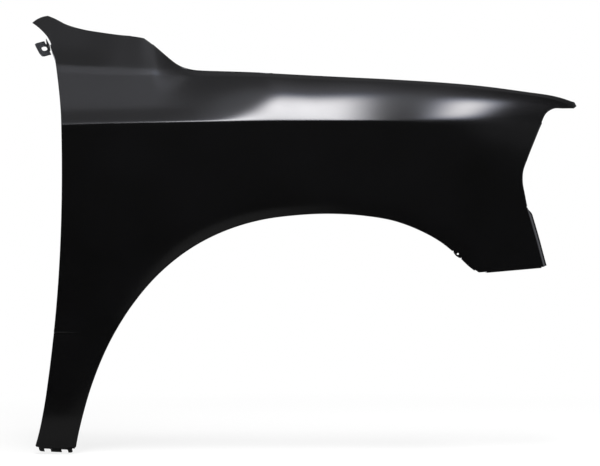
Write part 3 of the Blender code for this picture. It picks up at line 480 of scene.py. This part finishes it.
# strip set back by a small S-shaped step, growing out of the edge from its upper end
def steppedStrip(points, normals):
    drop, across, width = flange["joggle"]
    end = flange["joggleEnd"]
    keep = end + (1.0 - end) * easeIn(0.0, flange["joggleGrowth"], runLength(points))
    share = evenShares(flange["foldSteps"])
    out = keep[:, None] * np.concatenate((share * across, (across + 0.5 * width, across + width)))
    into = keep[:, None] * np.concatenate((drop * easeIn(0.0, 1.0, share), (drop, drop)))
    return besideEdge(points, normals, out, into)


# small ear in the plane of the face: height h (e + (1 - e) sqrt(sin(pi u)))
def earStrip(points, normals):
    swell = np.sqrt(np.sin(math.pi * evenShares(len(points) - 1)))
    height = flange["earHeight"] * (flange["earEnd"] + (1.0 - flange["earEnd"]) * swell)
    out = height[:, None] * evenShares(flange["earSteps"])
    return besideEdge(points, normals, out, np.zeros_like(out))


# Stepped ledge behind the hood line, level at five pads
ledge = {
    "hoodFold": 0.004, "ledgeFold": 0.003, "drop": 0.022, "width": 0.030, "padLength": 0.070,
    "padCentres": (0.36, 0.47, 0.60, 0.73, 0.86), "mainPad": 2, "end": 0.910,
    "noseSpan": (0.935, 0.982), "noseWall": 0.008,
    "foldSteps": 8, "wallShares": (0.33, 0.67), "footSteps": 6, "shelfSteps": 4,
}


# middle of each pad by x, and its height: the hood line less the drop
def padLevels():
    line = outlineCurve("hoodLine")
    centres = np.array(ledge["padCentres"]) * panel["length"]
    return centres, np.interp(centres, line[:, 0], line[:, 1]) - ledge["drop"]


# height of the ledge: level over each pad, straight between, the mean slope beyond the ends
def ledgeHeight(x):
    centres, levels = padLevels()
    half = 0.5 * ledge["padLength"]
    ends = np.stack((centres - half, centres + half), axis=1).ravel()
    slope = (levels[-1] - levels[0]) / (centres[-1] - centres[0])
    between = np.interp(x, ends, np.repeat(levels, 2))
    between = np.where(x < ends[0], levels[0] + slope * (x - ends[0]), between)
    return np.where(x > ends[-1], levels[-1] + slope * (x - ends[-1]), between)


# over the hood fold, straight down, round the foot of the wall and level inward
def ledgeUnderHood(points, normals):
    away = awayFromEdge(points, normals)
    level = away * np.array((1.0, 1.0, 0.0))
    level = level / lengths(level)[:, None]
    angle = (np.arcsin(away[:, 2]) + flange["square"])[:, None]
    turns = evenShares(ledge["foldSteps"])[None] * angle
    fold = besideEdge(points, normals, *foldArc(ledge["hoodFold"], turns))
    base = fold[:, -1].copy()
    base[:, 2] = ledgeHeight(points[:, 0]) + ledge["ledgeFold"]
    drop = (base - fold[:, -1])[:, None]
    wall = fold[:, -1:] + drop * np.array(ledge["wallShares"])[None, :, None]
    turns = np.linspace(0.0, flange["square"], ledge["footSteps"] + 1)
    down, side = foldArc(ledge["ledgeFold"], turns)
    up = np.array((0.0, 0.0, 1.0))
    turn = base[:, None] + side[None, :, None] * level[:, None] - down[None, :, None] * up
    widths = roundedWidths(points, ledge["width"])[:, None] * evenShares(ledge["shelfSteps"])[1:]
    shelf = turn[:, -1:] + widths[..., None] * level[:, None]
    return np.concatenate((fold, wall, turn, shelf), axis=1)


# Bolt, clip and trim holes, in metres; along an edge they are placed by x, on the rear edge by z
holes = {
    "cutLength": 0.012, "pad": 0.009, "mainPadOffset": 0.022,
    "liner": 0.007, "linerPlaces": (1.0232, 0.8818, 0.6970, 0.5503, 0.4421, 0.3425, 0.1529),
    "rear": 0.0065, "rearPlaces": (0.1282, 0.5423, 0.8081),
    "bottom": 0.009, "bottomPlaces": (1.2845, 1.1964),
    "ear": 0.0048, "earInset": 0.0015,
    "footSlot": 0.0165, "footSlotPlaces": (0.1092, 0.0657),
    "footSlotDepth": 0.022, "footSlotCorner": 0.3,
}


# cutter swept along the axis: a superellipse, width/2 times cos a and sin a each to the power
# corner (1 is round, less is squarer), its halves moved apart by the stretch; two rings of points
def holeCutter(centre, direction, width, stretch=0.0, along=None, corner=1.0):
    axis = Vector(direction).normalized()
    side = Vector(along) if along is not None else axis.orthogonal()
    side = np.array((side - axis * side.dot(axis)).normalized())
    axis = np.array(axis)
    turn = 2.0 * math.pi * (np.arange(panel["holeSides"]) + 0.5) / panel["holeSides"]
    reach = np.sign(np.cos(turn)) * (width * np.abs(np.cos(turn)) ** corner + stretch)
    rise = np.sign(np.sin(turn)) * width * np.abs(np.sin(turn)) ** corner
    ring = 0.5 * reach[:, None] * side + 0.5 * rise[:, None] * np.cross(axis, side)
    half = 0.5 * holes["cutLength"] * axis
    return np.stack((np.array(centre) + ring - half, np.array(centre) + ring + half))


# the place on a strip, at a share of its width, where one coordinate has the given value; with
# the direction square to the strip there, and the direction across it
def stripPlace(grid, axis, value, share=0.5):
    inner, width = grid[:, flange["foldSteps"]], grid[:, -1] - grid[:, flange["foldSteps"]]
    line = inner + width * share
    order = np.argsort(line[:, axis])
    column = np.interp(value, line[order, axis], order)
    low = min(int(column), len(grid) - 2)
    place = line[low] + (line[low + 1] - line[low]) * (column - low)
    return place, np.cross(inner[low + 1] - inner[low], width[low]), width[low]


# puts new data into the scene as an object
def addObject(name, data):
    item = bpy.data.objects.new(name, data)
    bpy.context.scene.collection.objects.link(item)
    return item


# gives the sheet its thickness inward, cuts the holes and keeps the fold edges crisp
def makeSheetMetal(name, grids, thickness, cutters, material, place=Matrix()):
    part = addObject(name, meshFromGrids(name, grids))
    solid = part.modifiers.new("sheet", "SOLIDIFY")
    solid.thickness, solid.offset = thickness, -1.0
    sides = panel["holeSides"]
    rings = np.concatenate([cutter.reshape(-1, 3) for cutter in cutters])
    start = 2 * sides * np.arange(len(cutters))[:, None]
    around = np.arange(sides)[None]
    after = (around + 1) % sides
    near, far = start + around, start + after
    walls = np.stack((near, far, far + sides, near + sides), axis=-1)
    caps = [(first + np.arange(sides)[::-1]).tolist() for first in start[:, 0]]
    caps += [(first + sides + np.arange(sides)).tolist() for first in start[:, 0]]
    tool = bpy.data.meshes.new(name + "Tool")
    tool.from_pydata(rings.tolist(), [], walls.reshape(-1, 4).tolist() + caps)
    shape = bmesh.new()
    shape.from_mesh(tool)
    bmesh.ops.recalc_face_normals(shape, faces=shape.faces[:])
    shape.to_mesh(tool)
    shape.free()
    cutter = addObject(name + "Tool", tool)
    cut = part.modifiers.new("holes", "BOOLEAN")
    cut.object, cut.operation, cut.solver = cutter, "DIFFERENCE", "EXACT"
    ready = part.evaluated_get(bpy.context.evaluated_depsgraph_get())
    finished = bpy.data.meshes.new_from_object(ready)
    part.modifiers.clear()
    bpy.data.objects.remove(cutter)
    finished.transform(Matrix.Translation(-Vector(panel["padPlace"])) @ place)
    finished.shade_smooth()
    finished.set_sharp_from_angle(angle=panel["sharpAngle"])
    finished.materials.append(material)
    part.data = finished
    return part


# the whole stamping as one sheet
def makePanel():
    each = panel["each"]
    crease, foot, middle, top = longLines()
    inner, outer, legEnd = sideLines(crease)
    body = ruledGrid(inner, outer, sideRows(inner, outer))
    wide = len(crease)
    beak, shoulderRear = outlineCurve("beak"), outlineCurve("shoulderRear")
    beak[0], beak[-1], shoulderRear[0] = crease[-1], foot[-1], crease[0]
    shoulderShares = closeAtEnds(columns["shoulderRows"], wide)
    shoulder = ruledGrid(crease, foot, shoulderShares, shoulderRear, beak)
    strip = ruledGrid(foot, middle, closeAtEnds(columns["stripRows"], wide))
    cowlShares = closeAtEnds(columns["cowlRows"], wide)
    cowl = ruledGrid(middle, top, cowlShares, outlineCurve("cowlRear"))
    grids = [onFace(body, inner)] + [onFace(grid) for grid in (shoulder, strip, cowl)]

    # places and outward directions along a line of the side view
    def alongLine(line):
        return onFace(line[None])[0], faceNormals(line)

    # adds a folded strip along such a line
    def addStrip(line, width, angle=flange["square"]):
        grids.append(foldInward(*alongLine(line), width, angle))
        return grids[-1]

    cowlEnd = int(np.searchsorted(cowlShares[0], flange["cowlEnd"]))
    rearStrip = addStrip(np.concatenate((
        body[flange["rearTrim"]:legEnd, -1], shoulder[0], strip[0, 1:], cowl[0, 1:cowlEnd])),
        flange["rear"])
    first, second, third = each * np.cumsum([columns[name] for name in ("tip", "cowl", "drop")])
    addStrip(top[first:second - each + 1], flange["cowl"])
    addStrip(top[second + each:third - each + 1], flange["drop"])
    hood = finer(columns["hood"])
    ledgeGrid = ledgeUnderHood(*alongLine(top[third:][hood <= ledge["end"] + flange["spanMargin"]]))
    grids.append(ledgeGrid)
    low, high = ledge["noseSpan"]
    nose = (hood >= low - flange["spanMargin"]) & (hood <= high + flange["spanMargin"])
    addStrip(top[third:][nose], ledge["noseWall"])

    down = body[legEnd + wide - 1:, -1]
    upper = int(np.argmin(np.abs(down[:, 1] - flange["joggleTop"] * panel["height"])))
    beakRows = int(np.searchsorted(shoulderShares[0], flange["beakEnd"]))
    addStrip(np.concatenate((shoulder[-1, beakRows:0:-1], down[:upper])), flange["front"])
    grids.append(steppedStrip(*alongLine(down[upper:])))
    start, stop = flange["bottomTrim"]
    bottomStrip = addStrip(body[-1, ::-1][start:-stop], flange["bottom"])

    edge = onFace(body[::-1], inner[::-1])[:, 0]
    normals = faceNormals(body[::-1, 0], body[::-1, 1])
    share = body[::-1, 0, 0] / panel["length"]
    earLast, earFirst = [int(np.argmin(np.abs(share - end))) for end in flange["earSpan"]]
    (start, stop), beside = flange["archTrim"], flange["earTrim"]
    stretches = (start, earFirst - beside + 1), (earLast + beside, len(edge) - stop)
    archStrips = [foldInward(edge[a:b], normals[a:b], flange["arch"], flange["square"])
                  for a, b in stretches]
    ear = earStrip(edge[earFirst:earLast + 1], normals[earFirst:earLast + 1])
    grids.extend(archStrips + [ear])
    start, stop = flange["footTrim"]
    footStrip = addStrip(body[0][start:-stop], flange["foot"], flange["footAngle"])

    cutters = []
    centres, levels = padLevels()
    shelf = ledgeGrid[:, -ledge["shelfSteps"] - 1:]
    middles = np.interp(centres, shelf[:, -1, 0], 0.5 * (shelf[:, -1, 1] + shelf[:, 0, 1]))
    for number, (x, y, z) in enumerate(zip(centres, middles, levels)):
        offsets = (-1.0, 1.0) if number == ledge["mainPad"] else (0.0,)
        cutters += [holeCutter((x + side * holes["mainPadOffset"], y, z), (0, 0, 1), holes["pad"])
                    for side in offsets]
    for name, grid, axis in (
            ("liner", archStrips[1], 0), ("rear", rearStrip, 2), ("bottom", bottomStrip, 0)):
        for value in holes[name + "Places"]:
            place, direction, _ = stripPlace(grid, axis, value)
            cutters.append(holeCutter(place, direction, holes[name]))
    half = len(ear) // 2
    across, along = ear[half, -1] - ear[half, 0], ear[half + 1, 0] - ear[half, 0]
    place = ear[half, 0] - across / np.linalg.norm(across) * holes["earInset"]
    cutters.append(holeCutter(place, np.cross(along, across), holes["ear"]))
    stretch = 2 * holes["footSlotDepth"] - holes["footSlot"]
    for value in holes["footSlotPlaces"]:
        place, direction, across = stripPlace(footStrip, 0, value, 1.0)
        cutters.append(holeCutter(
            place, direction, holes["footSlot"], stretch, across, holes["footSlotCorner"]))
    return makeSheetMetal("fenderPanel", grids, panel["thickness"], cutters, blackDipPrimer())


# The welded bracket, in metres, in a frame with x rearward, y up along the edge, z outward
bracket = {
    "thickness": 0.0015, "centre": 0.936, "gap": 0.0014, "legStart": 0.0045, "legWidth": 0.016,
    "foldRadius": 0.003, "legLength": 0.031, "tabLength": 0.062, "tabWidth": 0.0273,
    "tabShares": (0.88, 0.99, 1.0, 1.0, 0.98), "holeWidth": 0.014, "holeLength": 0.020,
    "holeOffset": 0.009, "cornerRadius": 0.005,
    "curveSteps": 12, "legSteps": 4, "foldSteps": 8, "acrossSteps": 12, "endSteps": 7,
    "tabSteps": 8,
}


# leg beside the rear flange, a quarter turn, and a tab whose edge follows the shares
def makeBracket():
    b = bracket
    half = 0.5 * b["legLength"]
    level = b["centre"] * panel["height"]
    edge = smoothThrough(inMetres(outline["cowlRear"]), b["curveSteps"])
    near = whereCoordinate(edge, 1, np.array((level - half, level, level + half)))
    centre = onFace(near[None])[0]
    normal = Vector(faceNormals(near)[1])
    run = Vector(centre[2] - centre[0])
    run = (run - normal * run.dot(normal)).normalized()
    frameOfEdge = Matrix((normal.cross(run), run, normal)).transposed().to_4x4()
    frameOfEdge.translation = Vector(centre[1])
    along, across = foldArc(
        b["foldRadius"], np.linspace(0.0, flange["square"], b["foldSteps"] + 1))
    base = panel["foldRadius"] + b["gap"]
    depth = b["legStart"] + b["legWidth"]
    straight = np.linspace(b["legStart"], depth, b["legSteps"], endpoint=False)
    legX = base + np.concatenate((np.zeros(len(straight)), across))
    legZ = -np.concatenate((straight, depth + along))
    legY = np.linspace(-half, half, b["acrossSteps"] + 1)
    leg = np.stack(np.broadcast_arrays(legX[None], legY[:, None], legZ[None]), axis=-1)
    end = 0.5 * b["tabLength"]
    beyond = np.linspace(half, end, b["endSteps"] + 1)[1:]
    tabY = np.concatenate((-beyond[::-1], legY, beyond))
    width = b["tabWidth"] * np.interp(tabY, (-end, -half, 0.0, half, end), b["tabShares"])
    width = width - cornerCut(b["cornerRadius"], end - np.abs(tabY))
    tabX = legX[-1] + width[:, None] * evenShares(b["tabSteps"])[None]
    tab = np.stack(np.broadcast_arrays(tabX, tabY[:, None], legZ[-1]), axis=-1)
    hole = holeCutter((legX[-1] + b["holeOffset"], 0.0, legZ[-1]), (0, 0, 1), b["holeWidth"],
                      b["holeLength"] - b["holeWidth"], (0, 1, 0))
    return makeSheetMetal(
        "rearBracket", [leg, tab], b["thickness"], [hole], thinGreyPrimer(), frameOfEdge)


# Finishes: sRGB hex colours, sizes in millimetres
primer = {
    "deep": "#090909", "worn": "#0c0c0d", "roughness": (0.14, 0.18), "cloudMm": 160.0,
    "grainMm": 1.6, "grainShare": 0.3, "peelMm": 7.0, "peelHeightMm": 0.004, "ior": 1.5,
}
bracketPaint = {
    "deep": "#141517", "worn": "#222428", "roughness": (0.24, 0.32), "cloudMm": 12.0,
    "grainMm": 1.0, "grainHeightMm": 0.01, "ior": 1.5,
}


# hex colour to linear light: c / 12.92 up to 0.04045, above it ((c + 0.055) / 1.055)^2.4
def linear(code):
    channels = np.array([int(code[i:i + 2], 16) for i in (1, 3, 5)]) / 255.0
    low, high = channels / 12.92, ((channels + 0.055) / 1.055) ** 2.4
    return tuple(float(value) for value in np.where(channels <= 0.04045, low, high)) + (1.0,)


# kinds of node that are used often
maths, span, mixed = "ShaderNodeMath", "ShaderNodeMapRange", "ShaderNodeMixShader"
smooth = {"interpolation_type": "SMOOTHSTEP"}


# adds one node with its settings; each input gets a value, an output, or a node's first output
def addNode(tree, kind, inputs=None, **settings):
    item = tree.nodes.new(kind)
    for key, value in settings.items():
        setattr(item, key, value)
    for key, value in (inputs or {}).items():
        source = value.outputs[0] if isinstance(value, bpy.types.Node) else value
        if isinstance(source, bpy.types.NodeSocket):
            tree.links.new(source, item.inputs[key])
        else:
            item.inputs[key].default_value = source
    return item


# a material with nothing in it, its tree and the object's own coordinates
def emptyMaterial(name):
    material = bpy.data.materials.new(name)
    material.use_nodes = True
    tree = material.node_tree
    tree.nodes.clear()
    return material, tree, addNode(tree, "ShaderNodeTexCoord").outputs["Object"]


# 1 for a glossy ray, and 1 for a ray from the camera or through glass
def rayKinds(tree):
    ray = addNode(tree, "ShaderNodeLightPath").outputs
    return ray["Is Glossy Ray"], addNode(tree, maths, {
        0: ray["Is Camera Ray"], 1: ray["Is Transmission Ray"]}, operation="MAXIMUM")


# paint: deep to worn by the tone, roughness by the sheen over its span, bumps by the relief
def paintSurface(tree, paint, tone, sheen, sheenSpan, relief, reliefMm):
    colour = addNode(tree, "ShaderNodeMix", {
        0: tone, 6: linear(paint["deep"]), 7: linear(paint["worn"])}, data_type="RGBA")
    rough = addNode(tree, span, {
        "Value": sheen, "From Min": sheenSpan[0], "From Max": sheenSpan[1],
        "To Min": paint["roughness"][0], "To Max": paint["roughness"][1]})
    bump = addNode(tree, "ShaderNodeBump", {
        "Height": relief, "Strength": 1.0, "Distance": reliefMm / 1000.0})
    shader = addNode(tree, "ShaderNodeBsdfPrincipled", {
        "Base Color": colour.outputs[2], "Roughness": rough, "Normal": bump, "IOR": paint["ior"]})
    addNode(tree, "ShaderNodeOutputMaterial", {"Surface": shader})


# Electro-dip primer, black, baked on stamped steel: even, half gloss, with a faint orange peel
# that only shows in the edges of reflections, and slow clouds of thicker and thinner paint
def blackDipPrimer():
    material, tree, where = emptyMaterial("blackDipPrimer")
    cloud, grain, peel = [addNode(tree, "ShaderNodeTexNoise", {
        "Vector": where, "Scale": 1000.0 / primer[size], "Detail": detail, "Roughness": rough})
        for size, detail, rough in (
            ("cloudMm", 3.0, 0.5), ("grainMm", 2.0, 0.6), ("peelMm", 1.0, 0.4))]
    blend = addNode(
        tree, maths, {0: grain, 1: primer["grainShare"], 2: cloud}, operation="MULTIPLY_ADD")
    tone = addNode(tree, span, {"Value": blend, "From Min": 0.4, "From Max": 0.9})
    paintSurface(tree, primer, tone, blend, (0.3, 0.9), peel, primer["peelHeightMm"])
    return material


# The same primer on the thicker welded bracket, sprayed thin: duller and greyer
def thinGreyPrimer():
    material, tree, where = emptyMaterial("thinGreyPrimer")
    cloud, grain = [addNode(tree, "ShaderNodeTexNoise", {
        "Vector": where, "Scale": 1000.0 / bracketPaint[size], "Detail": detail, "Roughness": 0.6})
        for size, detail in (("cloudMm", 4.0), ("grainMm", 2.0))]
    paintSurface(tree, bracketPaint, cloud, grain, (0.3, 0.7), grain, bracketPaint["grainHeightMm"])
    return material


fenderPanel = makePanel()
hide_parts("fender_panel")
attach(fenderPanel, "root")
print("panel made:", len(fenderPanel.data.polygons), "faces")

rearBracket = makeBracket()
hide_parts("upper_rear_bracket")
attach(rearBracket, "root")
print("bracket made:", len(rearBracket.data.polygons), "faces")

# The studio: camera square to the side, 6 m away; white behind the part, dark beside the camera,
# and soft boxes of light above, in front and to the side, which only the paint mirrors
studio = {
    "camera": (-0.1461, -6.1537, -0.3740), "lens": 144.0,
    "floorBelow": 0.002, "floorRadius": 40.0, "floorSides": 96,
    # floor for the camera: share of the board and glow near the part, and where both fade to white
    "floorGrey": "#e6e6e6", "floorKept": 0.3, "floorGlow": 0.76, "floorFade": (1.3, 2.4),
    # floor in the paint: this share of the board, rising by y; past mirrorRear as for the camera
    "floorMirrored": 0.22, "mirrorFront": (-0.75, -0.15), "mirrorRear": (0.1, 0.6),
    # painted reflection: a glowing patch in the floor, no lamp, that only the lip of the arch
    # mirrors: radiance, rise and fall by x, then by y
    "mirroredGlowPatch": (0.30, (-0.42, -0.25), (-0.15, -0.07), (-4.5, -2.2), (-1.25, -0.95)),
    # light on matt surfaces, and the y of the direction where the white backdrop begins
    "ambient": 0.55, "backdrop": (0.90, 0.99),
    # light of the room by height over the camera's horizon: (degrees, radiance)
    "room": [
        (0, 0.01), (30, 0.03), (40, 0.20), (50, 0.42), (64, 0.74), (76, 1.08), (82, 1.2),
        (87, 0.98), (92, 0.72), (97, 0.47), (103, 0.32), (112, 0.23), (128, 0.22), (142, 0.15),
        (156, 0.04), (180, 0.02)],
    # over this x of the direction it sinks to this share
    "roomSide": (0.10, 0.52), "roomFar": 0.12,
    # its tint by radiance: bluish where it is dim
    "tints": [
        (0.0, "#f6f6fb"), (1.2, "#eff1fb"), (3.0, "#d0daf5"), (7.0, "#e3e7f8"), (14.0, "#fdfcff")],
    # soft boxes that the paint mirrors: radiance, (from, to) of the rise and of the fall by height
    # in degrees, the same by side as the x of the direction, then how the left side leans (x per
    # degree) and how the top sinks to the left (degrees per x, from this x)
    "boxes": {
        "overhead": (
            29.0, (22, 50), (73, 91), (-0.049, 0.051), (0.0, 0.08), -0.004, 150.0, 0.04),
        "haze": (0.6, (58, 80), (92, 114), (-0.05, 0.02), (0.04, 0.10), 0.0, 0.0, 0.0),
        "front": (18.0, (50, 66), (73, 89), (0.20, 0.33), (0.34, 0.475), 0.0, 0.0, 0.0),
        "low": (0.14, (8, 24), (48, 66), (0.36, 0.52), (0.90, 1.00), 0.0, 0.0, 0.0),
        "right": (1.1, (-2, -1), (181, 182), (0.72, 0.90), (1.5, 1.6), 0.0, 0.0, 0.0),
    },
    # the lamps that light the matt surfaces and throw the shadow: centre, width, depth, radiance
    "lamps": {
        "overheadLamp": ((-0.13, -2.42, 3.0), 0.70, 3.1, 22.0),
        "frontLamp": ((1.40, -1.28, 3.0), 0.76, 1.45, 19.0),
    },
}


# the camera looks along +y, level
def placeCamera():
    data = bpy.data.cameras.new("camera")
    data.lens, data.sensor_width, data.clip_end = studio["lens"], 36.0, 100.0
    camera = addObject("camera", data)
    camera.location, camera.rotation_euler = studio["camera"], (math.radians(90.0), 0.0, 0.0)
    bpy.context.scene.camera = camera


# area lamp of a given radiance: power = radiance x pi x area
def addLamp(name, centre, width, depth, radiance):
    data = bpy.data.lights.new(name, "AREA")
    data.shape, data.size, data.size_y = "RECTANGLE", width, depth
    data.energy = radiance * math.pi * width * depth
    lamp = addObject(name, data)
    lamp.location = centre
    lamp.visible_camera = lamp.visible_glossy = False


# Painted board floor: matt and pale. The camera sees it lifted to white, so that it joins the
# backdrop, and it keeps the soft shadow of the part; in front it mirrors dark, as in a dark room. A
# glowing patch in it, which only mirrors see, is a painted reflection on the lip of the arch.
def paleFloor():
    s = studio
    material, tree, where = emptyMaterial("paleBoard")
    distance = addNode(tree, "ShaderNodeVectorMath", {0: where}, operation="LENGTH")
    x, y = addNode(tree, "ShaderNodeSeparateXYZ", {0: where}).outputs[:2]
    radiance, *sides = s["mirroredGlowPatch"]
    # smooth changes: what they follow, over which span, and the values before and after it
    kept, glow, near, rear, left, right, front, back = [addNode(tree, span, {
        "Value": value, "From Min": low, "From Max": high, "To Min": first, "To Max": last},
        **smooth) for value, (low, high), first, last in (
            (distance.outputs["Value"], s["floorFade"], s["floorKept"], 0.0),
            (distance.outputs["Value"], s["floorFade"], s["floorGlow"], 1.0),
            (y, s["mirrorFront"], 0.0, s["floorMirrored"]), (y, s["mirrorRear"], 0.0, 1.0),
            *[(value, side, 0.0, 1.0) for value, side in zip((x, x, y, y), sides)])]
    light = addNode(tree, "ShaderNodeEmission", {"Strength": glow})
    board = addNode(tree, "ShaderNodeBsdfDiffuse", {"Color": linear(s["floorGrey"])})
    dark = addNode(tree, "ShaderNodeEmission", {"Strength": 0.0})
    share = addNode(tree, mixed, {0: kept, 1: dark, 2: board})
    seen = addNode(tree, "ShaderNodeAddShader", {0: share, 1: light})
    dim = addNode(tree, mixed, {0: near, 1: dark, 2: board})
    # painted reflection: a glowing patch in the floor, no lamp, seen only in mirrors, where the lip
    # of the arch mirrors the floor
    across = addNode(tree, maths, {0: left, 1: right}, operation="SUBTRACT")
    along = addNode(tree, maths, {0: front, 1: back}, operation="SUBTRACT")
    area = addNode(tree, maths, {0: across, 1: along}, operation="MULTIPLY")
    level = addNode(tree, maths, {0: area, 1: radiance}, operation="MULTIPLY")
    mirroredGlowPatch = addNode(tree, "ShaderNodeEmission", {"Strength": level})
    lit = addNode(tree, "ShaderNodeAddShader", {0: dim, 1: mirroredGlowPatch})
    mirrored = addNode(tree, mixed, {0: rear, 1: lit, 2: seen})
    glossy, clear = rayKinds(tree)
    plain = addNode(tree, mixed, {0: glossy, 1: board, 2: mirrored})
    choice = addNode(tree, mixed, {0: clear, 1: plain, 2: seen})
    addNode(tree, "ShaderNodeOutputMaterial", {"Surface": choice})
    mesh = bpy.data.meshes.new("floor")
    turn = np.linspace(0.0, 2.0 * math.pi, s["floorSides"], endpoint=False)
    ring = np.stack((np.cos(turn), np.sin(turn), np.zeros(len(turn))), axis=1) * s["floorRadius"]
    mesh.from_pydata(ring.tolist(), [], [list(range(len(turn)))])
    mesh.materials.append(material)
    floor = addObject("floor", mesh)
    floor.location = (0.0, 0.0, cadBox[0][2] - s["floorBelow"])


# the room: white to the camera and, behind the part, to mirrors too; over the camera's side a
# grey ceiling by the angle atan2(|z|, -y), darker to the side, with soft boxes of light in it
def studioWorld():
    s = studio
    world = bpy.data.worlds.new("studio")
    bpy.context.scene.world = world
    world.use_nodes = True
    tree = world.node_tree
    tree.nodes.clear()
    heading = addNode(tree, "ShaderNodeTexCoord").outputs["Generated"]
    parts = addNode(tree, "ShaderNodeSeparateXYZ", {0: heading})
    side = parts.outputs["X"]
    height = addNode(tree, maths, {0: parts.outputs["Z"]}, operation="ABSOLUTE")
    toward = addNode(tree, maths, {0: parts.outputs["Y"], 1: -1.0}, operation="MULTIPLY")
    angle = addNode(tree, maths, {0: height, 1: toward}, operation="ARCTAN2")
    turn = addNode(tree, maths, {0: angle, 1: math.pi}, operation="DIVIDE")
    degrees = addNode(tree, maths, {0: turn, 1: 180.0}, operation="MULTIPLY")
    top, most = max(level for rise, level in s["room"]), s["tints"][-1][0]
    ramp, tint = [addNode(tree, "ShaderNodeValToRGB") for _ in range(2)]
    for item, stops in (
            (ramp, [(rise / 180.0, (level / top,) * 3 + (1.0,)) for rise, level in s["room"]]),
            (tint, [(level / most, linear(code)) for level, code in s["tints"]])):
        elements = item.color_ramp.elements
        for number, (place, colour) in enumerate(stops):
            stop = elements[number] if number < 2 else elements.new(place)
            stop.position, stop.color = place, colour
    tree.links.new(turn.outputs[0], ramp.inputs["Fac"])
    # light of the room: level of the ramp x (1, sinking to the far share at the side)
    aside = addNode(tree, span, {
        "Value": side, "From Min": s["roomSide"][0], "From Max": s["roomSide"][1],
        "To Min": top, "To Max": s["roomFar"] * top}, **smooth)
    light = addNode(tree, maths, {0: ramp, 1: aside}, operation="MULTIPLY")
    # each box: light + radiance x (left - right side) x (lower - upper side), never negative
    for radiance, rising, falling, entering, leaving, lean, sink, start in s["boxes"].values():
        over = addNode(tree, maths, {0: degrees, 1: rising[1]}, operation="SUBTRACT")
        leaning = addNode(tree, maths, {0: over, 1: -lean, 2: side}, operation="MULTIPLY_ADD")
        left = addNode(tree, maths, {0: start, 1: side}, operation="SUBTRACT")
        leftward = addNode(tree, maths, {0: left, 1: 0.0}, operation="MAXIMUM")
        sunk = addNode(tree, maths, {0: leftward, 1: sink, 2: degrees}, operation="MULTIPLY_ADD")
        edges = [addNode(tree, span, {"Value": value, "From Min": low, "From Max": high}, **smooth)
                 for value, (low, high) in (
                     (leaning, entering), (side, leaving), (degrees, rising), (sunk, falling))]
        glow = radiance
        for lower, upper in (edges[:2], edges[2:]):
            inside = addNode(tree, maths, {0: lower, 1: upper}, operation="SUBTRACT")
            inside = addNode(tree, maths, {0: inside, 1: 0.0}, operation="MAXIMUM")
            glow = addNode(tree, maths, {0: inside, 1: glow}, operation="MULTIPLY")
        light = addNode(tree, maths, {0: light, 1: glow}, operation="ADD")
    behind = addNode(tree, span, {
        "Value": parts.outputs["Y"], "From Min": s["backdrop"][0], "From Max": s["backdrop"][1]},
        **smooth)
    room = addNode(tree, maths, {0: light, 1: behind}, operation="MAXIMUM")
    glossy, clear = rayKinds(tree)
    mirror = addNode(tree, "ShaderNodeMix", {
        0: glossy, 2: s["ambient"], 3: room}, data_type="FLOAT")
    strength = addNode(tree, "ShaderNodeMix", {0: clear, 2: mirror, 3: 1.0}, data_type="FLOAT")
    share = addNode(tree, maths, {0: room, 1: most}, operation="DIVIDE")
    tree.links.new(share.outputs[0], tint.inputs["Fac"])
    colour = addNode(tree, "ShaderNodeMix", {
        0: glossy, 6: (1.0, 1.0, 1.0, 1.0), 7: tint}, data_type="RGBA")
    shine = addNode(tree, "ShaderNodeBackground", {
        "Color": colour.outputs[2], "Strength": strength})
    addNode(tree, "ShaderNodeOutputWorld", {"Surface": shine})


placeCamera()
for name, values in studio["lamps"].items():
    addLamp(name, *values)
paleFloor()
studioWorld()
bpy.context.scene.view_settings.view_transform = "Standard"
print("studio made")
